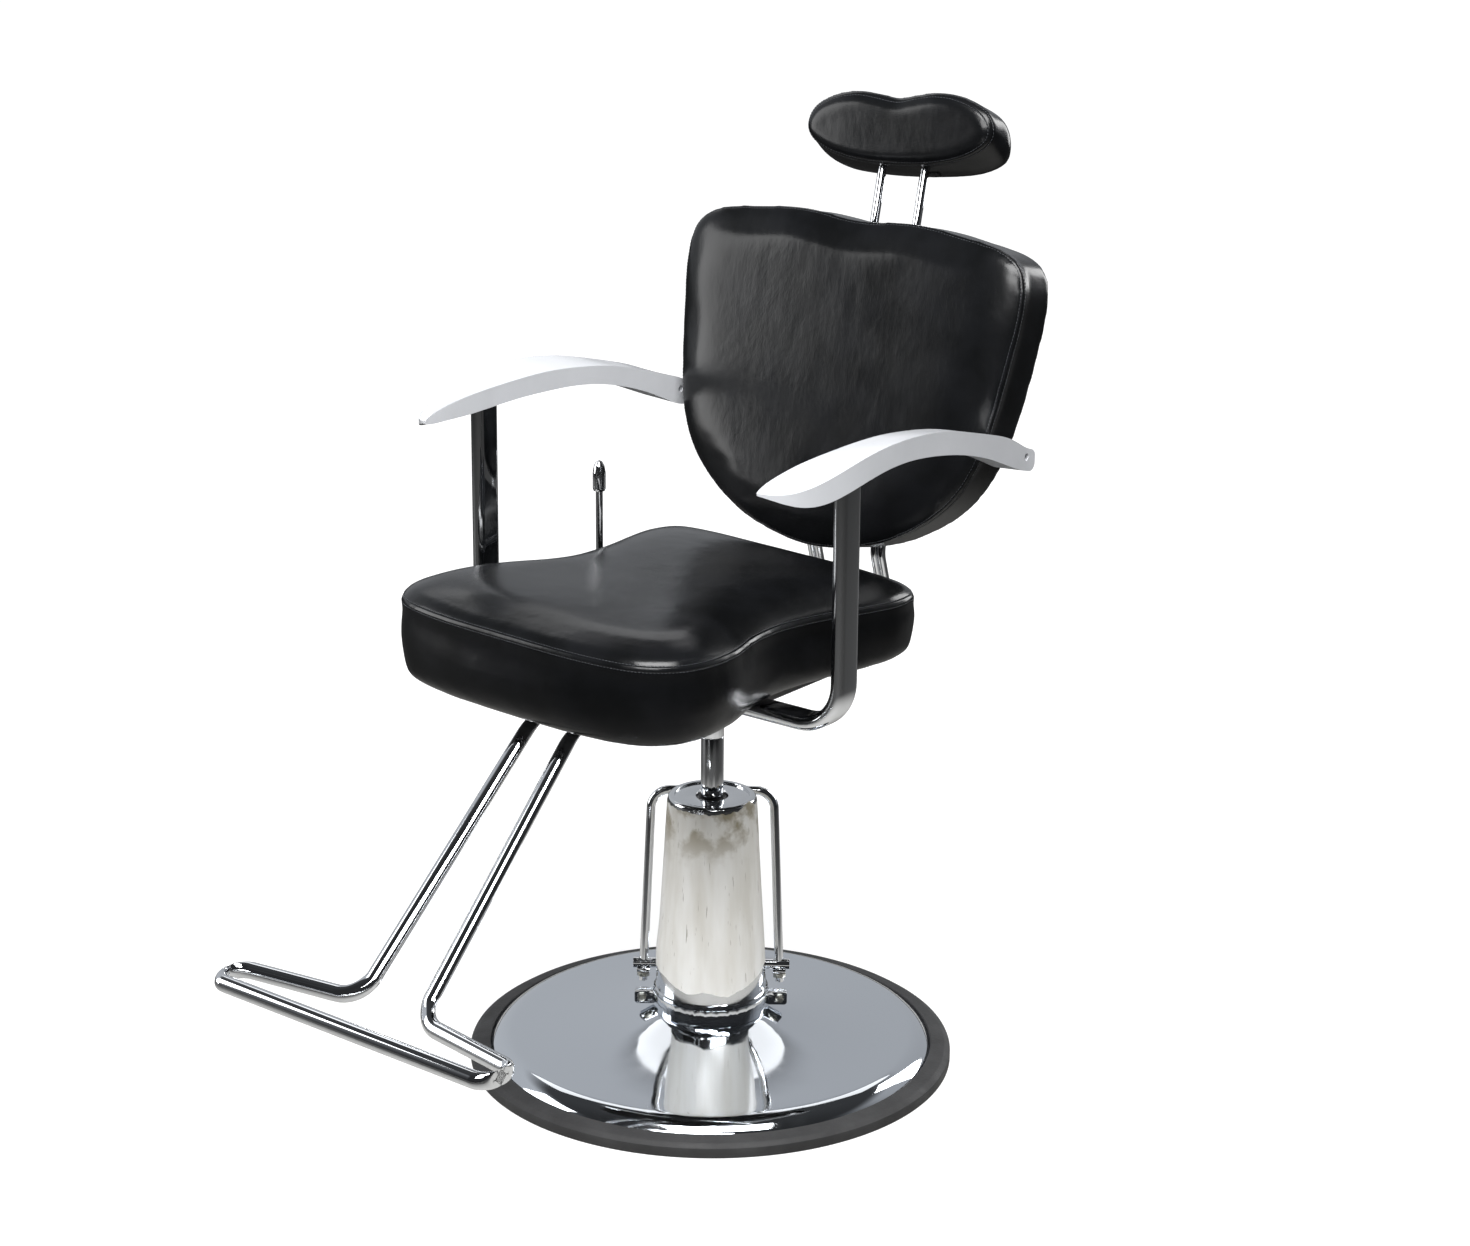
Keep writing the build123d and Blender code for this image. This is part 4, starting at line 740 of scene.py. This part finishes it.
def swell(mesh, voxel, cap, pressure, held, seam):
    """Remesh a foam block, blow up its cover by at most `cap` mm and smooth it."""
    skin = BVHTree.FromPolygons([v.co for v in mesh.vertices],
                                [p.vertices for p in mesh.polygons])
    block = put(mesh, "block")
    net = block.modifiers.new("net", "REMESH")
    net.mode = "VOXEL"
    net.voxel_size = voxel * MM
    mesh = baked(block)
    for _ in range(3):
        block = put(mesh, "block")
        even = block.modifiers.new("even", "SMOOTH")
        even.iterations = 4
        mesh = baked(block)
        for vertex in mesh.vertices:
            vertex.co = skin.find_nearest(vertex.co)[0]
    block = put(mesh, "block")
    reach = blow_up(block, pressure, held)
    edges = np.array([e.vertices[:] for e in mesh.edges])
    reach = even_out(reach, edges, 70)
    length = np.linalg.norm(reach, axis=1)[:, None] + 1e-9
    reach *= np.minimum(1.0, cap * MM * np.tanh(length / (cap * MM)) / length)
    point, normal = seam
    spots = np.array([v.co for v in mesh.vertices])
    away = (spots / MM - np.array(point)) @ np.array(Vector(normal).normalized())
    reach *= (1 - 0.9 * np.exp(-(away / 9.0) ** 2))[:, None]
    for vertex, move in zip(mesh.vertices, reach):
        vertex.co += Vector(move)
    fine = block.modifiers.new("fine", "SUBSURF")
    fine.levels = fine.render_levels = 1
    done = baked(block)
    print("pad vertices:", len(done.vertices))
    return done


# %% [markdown]
# ## Seat pad
# The seat is broad at the front, waisted beside the arm tubes and falls a little towards
# the rear. Its board is screwed on slightly askew. The seam runs round the top edge on a
# sloping plane, so the plane gives both the welt and the stitch lines.

# %% Seat
SEAT_HALF = [
    (0, -349), (101.7, -347.3), (176.3, -333.3), (214.7, -300.1), (226, -254.8),
    (218.1, -198.9), (195.5, -139.6), (184.2, -80.3), (188.7, -10.5), (203.4, 62.3),
    (206.8, 113.9), (187.6, 160.2), (124.3, 175.3), (0, 178)]
SEAT_FRONT = -349
SEAT_LENGTH = 527
SEAT_SKEW = math.radians(-3.0)
SEAT_SHIFT = -7.0


def askew(spot):
    x, y, z = spot
    return (x * math.cos(SEAT_SKEW) - y * math.sin(SEAT_SKEW) + SEAT_SHIFT,
            x * math.sin(SEAT_SKEW) + y * math.cos(SEAT_SKEW), z)


def seat_ring(front, rear, inset, shrink=1.0):
    """One level of the seat, `front` mm high at the front and `rear` mm at the rear."""
    fall = (rear - front) / SEAT_LENGTH
    return [askew((x, y, front + (y - SEAT_FRONT) * fall))
            for x, y in plan(SEAT_HALF, inset, shrink, (0, -85.5))]


seat_rings = [seat_ring(531, 531, 11), seat_ring(534, 534, 7.5), seat_ring(545, 544, 2.5),
              seat_ring(579, 573, -2.5), seat_ring(612, 590, -0.5), seat_ring(626, 601, 1.5),
              seat_ring(638.6, 612.2, 14), seat_ring(649.8, 623.4, 14, 0.84),
              seat_ring(653, 628, 14, 0.62), seat_ring(653.5, 628.5, 14, 0.3)]
seat_lean = Matrix.Rotation(SEAT_SKEW, 3, "Z")
SEAT_SEAM = (Vector(askew((0, SEAT_FRONT, 626))),
             seat_lean @ Vector((0, 25 / SEAT_LENGTH, 1)))
seat_mesh = swell(loft(seat_rings, 3), 6.0, 3.0, 3.0, lambda p: p.z < 536, SEAT_SEAM)

# %% Seat: make room for the board, mark the seam
board = BVHTree.FromPolygons([v.co for v in NODES["seat_board"].data.vertices],
                             [p.vertices for p in NODES["seat_board"].data.polygons])


def mark_seam(mesh, point, normal):
    """Store the distance of each vertex from the seam's plane, in mm."""
    normal = Vector(normal).normalized()
    marks = mesh.attributes.new("seam", "FLOAT", "POINT")
    for vertex in mesh.vertices:
        marks.data[vertex.index].value = (vertex.co / MM - Vector(point)).dot(normal)


for vertex in seat_mesh.vertices:
    if vertex.co.z < 0.5345:
        hit = board.ray_cast(vertex.co - Vector((0, 0, 0.05)), Vector((0, 0, 1)))[0]
        vertex.co.z = 0.5335 if hit else max(vertex.co.z, 0.5305)
mark_seam(seat_mesh, *SEAT_SEAM)
seat = piece("seat_pad", seat_mesh, "seat", LEATHERETTE, ["seat_cushion"], sharp=0)

# %% [markdown]
# ## Back pad
# The backrest is a shield with rounded upper corners and a deep round foot, 74 mm thick and
# leaning back. It is made lying in its own frame and then stood up on it.

# %% Back
BACK_TILT = math.radians(13.1)
BACK_FRAME = Matrix(((1, 0, 0), (0, math.sin(BACK_TILT), -math.cos(BACK_TILT)),
                     (0, math.cos(BACK_TILT), math.sin(BACK_TILT))))
BACK_ORIGIN = Vector((0, 220.6, 800))


def on_back(x, up, behind):
    """A point of the backrest: across, up the face and behind it, in mm."""
    return BACK_ORIGIN + BACK_FRAME @ Vector((x, up, -behind))


BACK_HALF = [
    (0, -187), (81.6, -173.9), (142.8, -146.8), (193.8, -104.7), (223.9, -54.2), (238.4, 4.5),
    (248.6, 74.6), (255, 144.6), (246.1, 187.6), (214.2, 210.2), (153, 220.4), (81.6, 226),
    (0, 220.4)]
back_rings = [[on_back(x, y, depth) for x, y in plan(BACK_HALF, inset)]
              for inset, depth in ((70, 0.2), (38, 0.3), (24, 0.9), (13, 2.4), (6, 5.2), (2, 9.4),
                                   (0, 14), (-0.8, 34), (0.2, 58), (0.8, 70), (4, 74.2),
                                   (12, 74.3))]
BACK_SEAM = (on_back(0, 0, 13.0), BACK_FRAME.col[2])
back_mesh = swell(loft(back_rings, 3), 6.0, 8.0, 4.0,
                  lambda p: (p - BACK_ORIGIN).dot(BACK_FRAME.col[2]) < -70, BACK_SEAM)
mark_seam(back_mesh, *BACK_SEAM)
back = piece("back_pad", back_mesh, "back", LEATHERETTE, ["back_cushion"], sharp=0)

# %% [markdown]
# ## Head pad
# The headrest is a kidney with a dip for the neck, rolled a few degrees on its rods. Its
# cover leans down towards the rear, where it is stapled to a small board.

# %% Headrest
HEAD_TILT = math.radians(4.0)
HEAD_FRAME = Matrix(((1, 0, 0), (0, math.sin(HEAD_TILT), -math.cos(HEAD_TILT)),
                     (0, math.cos(HEAD_TILT), math.sin(HEAD_TILT))))
HEAD_ORIGIN = Vector((0, 354, 1113))
HEAD_HALF = [
    (0, -44), (50.8, -41.8), (98.7, -32.2), (132, -14.6), (140, 5.5), (126.4, 27.0),
    (94, 42), (59.2, 47), (28.2, 43.6), (0, 39.4)]
HEAD_REAR = [
    (0, -44), (51, -42.5), (100, -37), (134, -22), (143, 2), (135, 27),
    (104, 42.5), (62, 46), (28.2, 43.5), (0, 41)]


def head_half(depth):
    """The outline grows fuller at its ends towards the rear."""
    share = min(1.0, max(0.0, (depth - 8) / 30))
    return [tuple(a + (b - a) * share for a, b in zip(front, rear))
            for front, rear in zip(HEAD_HALF, HEAD_REAR)]


def on_head(x, up, behind, drop=0.0):
    roll = math.radians(4.5)
    across = x * math.cos(roll) - up * math.sin(roll)
    along = x * math.sin(roll) + up * math.cos(roll) - drop
    return HEAD_ORIGIN + HEAD_FRAME @ Vector((across, along, -behind))


head_rings = [[on_head(x, y, depth, drop) for x, y in plan(head_half(depth), inset)]
              for inset, depth, drop in ((30, 0.4, 1), (16, 0.2, 1), (9, 1.6, 0.8), (4, 5, 0.5),
                                         (0.6, 10, 0.2), (0, 14, 0.2), (0, 30, 8.5),
                                         (0.5, 42, 14), (2.5, 50, 19), (6.5, 56, 22.5),
                                         (13, 60, 24.5), (26, 60.4, 25))]
HEAD_SEAM = (on_head(0, 0, 7.5), HEAD_FRAME.col[2])
head_mesh = swell(loft(head_rings, 3), 4.0, 3.0, 4.0,
                  lambda p: (p - HEAD_ORIGIN).dot(HEAD_FRAME.col[2]) < -56, HEAD_SEAM)
mark_seam(head_mesh, *HEAD_SEAM)
head = piece("head_pad", head_mesh, "headrest", LEATHERETTE,
             ["headrest_cushion"], sharp=0)

# %% [markdown]
# ## Stitches by Geometry Nodes
# Each seam is top-stitched with black thread on both sides. A stitch is a little bar with
# round ends, lying along the seam and sunk half its thickness. The line it follows is the
# pad's own surface cut by the seam's plane, moved a few millimetres to each side. The tree
# spaces the stitches along that line and turns each one to its direction.

# %% The stitch tree
def stitch_tree():
    tree, given = new_tree("row of stitches", ("Pitch", "Float"), ("Length", "Float"),
                           ("Thickness", "Float"), ("Material", "Material"))
    line = add(tree, "GeometryNodeMeshToCurve", {"Mesh": given["Geometry"]}).outputs[0]
    even = add(tree, "GeometryNodeResampleCurve", {
        "Curve": line, "Length": given["Pitch"]}, mode="LENGTH").outputs[0]
    ball = add(tree, "GeometryNodeMeshUVSphere", {
        "Segments": 6, "Rings": 5, "Radius": 0.5}).outputs[0]
    along = add(tree, "GeometryNodeInputTangent").outputs[0]
    aim = add(tree, "FunctionNodeAlignRotationToVector", {"Vector": along}, axis="X").outputs[0]
    size = add(tree, "ShaderNodeCombineXYZ", {
        0: given["Length"], 1: given["Thickness"], 2: given["Thickness"]}).outputs[0]
    sown = add(tree, "GeometryNodeInstanceOnPoints", {
        "Points": even, "Instance": ball, "Rotation": aim, "Scale": size}).outputs[0]
    real = add(tree, "GeometryNodeRealizeInstances", {"Geometry": sown}).outputs[0]
    dressed = add(tree, "GeometryNodeSetMaterial", {
        "Geometry": real, "Material": given["Material"]}).outputs[0]
    add(tree, "NodeGroupOutput", {"Geometry": dressed})
    return tree


STITCH = stitch_tree()


def seam_line(mesh, point, normal, offset):
    """The line where a plane beside the seam cuts a pad, as a mesh of edges."""
    normal = Vector(normal).normalized()
    shape = bmesh.new()
    shape.from_mesh(mesh)
    everything = shape.verts[:] + shape.edges[:] + shape.faces[:]
    cut = bmesh.ops.bisect_plane(shape, geom=everything, dist=1e-7,
                                 plane_co=(Vector(point) + normal * offset) * MM, plane_no=normal)
    kept = {e for e in cut["geom_cut"] if isinstance(e, bmesh.types.BMEdge)}
    bmesh.ops.delete(shape, geom=[f for f in shape.faces], context="FACES_ONLY")
    bmesh.ops.delete(shape, geom=[e for e in shape.edges if e not in kept], context="EDGES")
    line = bpy.data.meshes.new("line")
    shape.to_mesh(line)
    return line


def stitched(name, mesh, seam, rows, body):
    made = [grow(seam_line(mesh, *seam, offset), STITCH, Pitch=4.2 * MM, Length=3.3 * MM,
                 Thickness=0.95 * MM, Material=THREAD) for offset in rows]
    return piece(name, join(made), body, THREAD, sharp=0)


stitched("seat_stitches", seat_mesh, SEAT_SEAM, (-3.5, 3.3), "seat")
stitched("back_stitches", back_mesh, BACK_SEAM, (-3.5, 3.5), "back")
stitched("head_stitches", head_mesh, HEAD_SEAM, (-3.0, 3.0), "headrest")

# %% [markdown]
# ## The stage
# A plain pale floor runs off in every direction. The room is a soft grey sky that is paler
# behind the chair and to its sides and dark towards the camera, as a studio is. Chrome
# needs that contrast: it draws the dark middle line and white flanks of each tube.

# %% Floor
floor_mesh = mesh_of("floor", [(-30000, -30000, -0.3), (30000, -30000, -0.3), (30000, 30000, -0.3),
                               (-30000, 30000, -0.3)], [(0, 1, 2, 3)])
floor = put(floor_mesh, "floor")
white, tree, shader, place = new_finish("painted studio floor, matt white", {"Roughness": 0.7})
away = add(tree, "ShaderNodeVectorMath", {0: place}, operation="LENGTH").outputs["Value"]
paper = add(tree, "ShaderNodeMapRange", {
    "Value": away, "From Min": 0.5, "From Max": 1.3, "To Min": 0.42, "To Max": 0.03},
    interpolation_type="SMOOTHSTEP").outputs[0]
tree.links.new(add(tree, "ShaderNodeMix", {
    "Factor": paper, "A": (0.0, 0.0, 0.0, 1.0), "B": paint("#fffdf8")},
    data_type="RGBA").outputs["Result"], shader.inputs["Base Color"])
lift = add(tree, "ShaderNodeMapRange", {
    "Value": away, "From Min": 0.4, "From Max": 1.6, "To Min": 0.80, "To Max": 1.0}).outputs[0]
glow = add(tree, "ShaderNodeEmission", {"Color": (1.0, 1.0, 1.0, 1.0), "Strength": lift})
matt = add(tree, "ShaderNodeBsdfDiffuse", {"Color": (0.34, 0.34, 0.34, 1.0)})
bright = add(tree, "ShaderNodeAddShader", {0: glow.outputs[0], 1: matt.outputs[0]})
seen = add(tree, "ShaderNodeLightPath").outputs["Is Camera Ray"]
both = add(tree, "ShaderNodeMixShader", {0: seen, 1: shader.outputs[0], 2: bright.outputs[0]})
out = next(n for n in tree.nodes if n.type == "OUTPUT_MATERIAL")
tree.links.new(both.outputs[0], out.inputs["Surface"])
floor.data.materials.append(white)
floor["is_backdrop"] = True
print("floor ready")

# %% World
CAMERA_AT = 37.9
toward = Vector((math.sin(math.radians(CAMERA_AT)), -math.cos(math.radians(CAMERA_AT)), 0))
across = Vector((math.cos(math.radians(CAMERA_AT)), math.sin(math.radians(CAMERA_AT)), 0))

world = bpy.data.worlds.new("studio")
scene.world = world
world.use_nodes = True
sky = world.node_tree
sky.nodes.clear()
look = add(sky, "ShaderNodeTexCoord").outputs["Generated"]
ahead = add(sky, "ShaderNodeVectorMath", {0: look, 1: toward}, operation="DOT_PRODUCT").outputs[1]
aside = add(sky, "ShaderNodeVectorMath", {0: look, 1: across}, operation="DOT_PRODUCT").outputs[1]
wall = add(sky, "ShaderNodeMapRange", {
    "Value": aside, "From Min": -0.5, "From Max": 0.6, "To Min": 0.46, "To Max": 0.34}).outputs[0]
dark = add(sky, "ShaderNodeMapRange", {
    "Value": ahead, "From Min": -0.40, "From Max": 0.30, "To Min": 1.0, "To Max": 0.0},
    interpolation_type="SMOOTHSTEP").outputs[0]
rising = add(sky, "ShaderNodeSeparateXYZ", {"Vector": look}).outputs["Z"]
ceiling = add(sky, "ShaderNodeMapRange", {
    "Value": rising, "From Min": 0.56, "From Max": 0.72, "To Min": 1.15, "To Max": 0.05},
    interpolation_type="SMOOTHSTEP").outputs[0]
lit = add(sky, "ShaderNodeMath", {0: wall, 1: dark}, operation="MULTIPLY").outputs[0]
room = add(sky, "ShaderNodeMath", {0: lit, 1: ceiling, 2: 0.03},
           operation="MULTIPLY_ADD").outputs[0]
cool = add(sky, "ShaderNodeMix", {
    "Factor": room, "A": (0.0, 0.0, 0.0, 1.0), "B": paint("#f5f9ff")}, data_type="RGBA")
seen = add(sky, "ShaderNodeLightPath").outputs["Is Camera Ray"]
shown = add(sky, "ShaderNodeMix", {
    "Factor": seen, "A": cool.outputs["Result"], "B": (1.0, 1.0, 1.0, 1.0)}, data_type="RGBA")
back_light = add(sky, "ShaderNodeBackground", {"Color": shown.outputs["Result"], "Strength": 1.0})
add(sky, "ShaderNodeOutputWorld", {"Surface": back_light.outputs[0]})
print("studio ready")

# %% Lights
def softbox(name, azimuth, elevation, distance, width, height, radiance, target=(0, 0, 0.6)):
    """A rectangular light on a sphere round the chair; azimuth 0 is the camera's side."""
    lamp = bpy.data.lights.new(name, "AREA")
    lamp.shape = "RECTANGLE"
    lamp.size, lamp.size_y = width, height
    lamp.energy = radiance * math.pi * width * height
    holder = bpy.data.objects.new(name, lamp)
    scene.collection.objects.link(holder)
    turn, rise = math.radians(CAMERA_AT + azimuth), math.radians(elevation)
    way = Vector((math.sin(turn) * math.cos(rise), -math.cos(turn) * math.cos(rise),
                  math.sin(rise)))
    holder.location = Vector(target) + way * distance
    holder.rotation_euler = way.to_track_quat("Z", "Y").to_euler()
    return holder


softbox("overhead box", 8, 64, 3.2, 2.4, 1.3, 15.0)
softbox("front box", -10, 38, 3.4, 2.2, 1.1, 10.0)
softbox("left box", -94, 14, 3.0, 1.4, 2.0, 3.8)
softbox("rear box", 180, 41, 3.4, 3.4, 0.8, 1.1)
softbox("right box", 128, 18, 3.2, 0.9, 2.0, 6.0)
print("softboxes: 5")

# %% [markdown]
# ## The camera
# The camera stands in front and to the sitter's left, a little above the armrests, with a
# long lens so that the tubes stay nearly parallel.

# %% Camera
azimuth, rise, roll = (math.radians(d) for d in (37.9, 17.8, 0.5))
distance = 4.0
backward = Vector((math.sin(azimuth) * math.cos(rise), -math.cos(azimuth) * math.cos(rise),
                   math.sin(rise)))
rightward = Vector((math.cos(azimuth), math.sin(azimuth), 0))
upward = backward.cross(rightward)
target = rightward * 0.0262 + Vector((0, 0, 0.5622))
right_rolled = rightward * math.cos(roll) + upward * math.sin(roll)
up_rolled = upward * math.cos(roll) - rightward * math.sin(roll)
lens = bpy.data.cameras.new("camera")
lens.sensor_width = 36
lens.lens = 3322 * 36 / 1470
camera = bpy.data.objects.new("camera", lens)
turned_to = Matrix((right_rolled, up_rolled, backward)).transposed().to_4x4()
camera.matrix_world = Matrix.Translation(target + backward * distance) @ turned_to
scene.collection.objects.link(camera)
scene.camera = camera
scene.view_settings.view_transform = "Standard"
print("lens:", round(lens.lens, 2), "mm")

# %% Sizes
low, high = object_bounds()
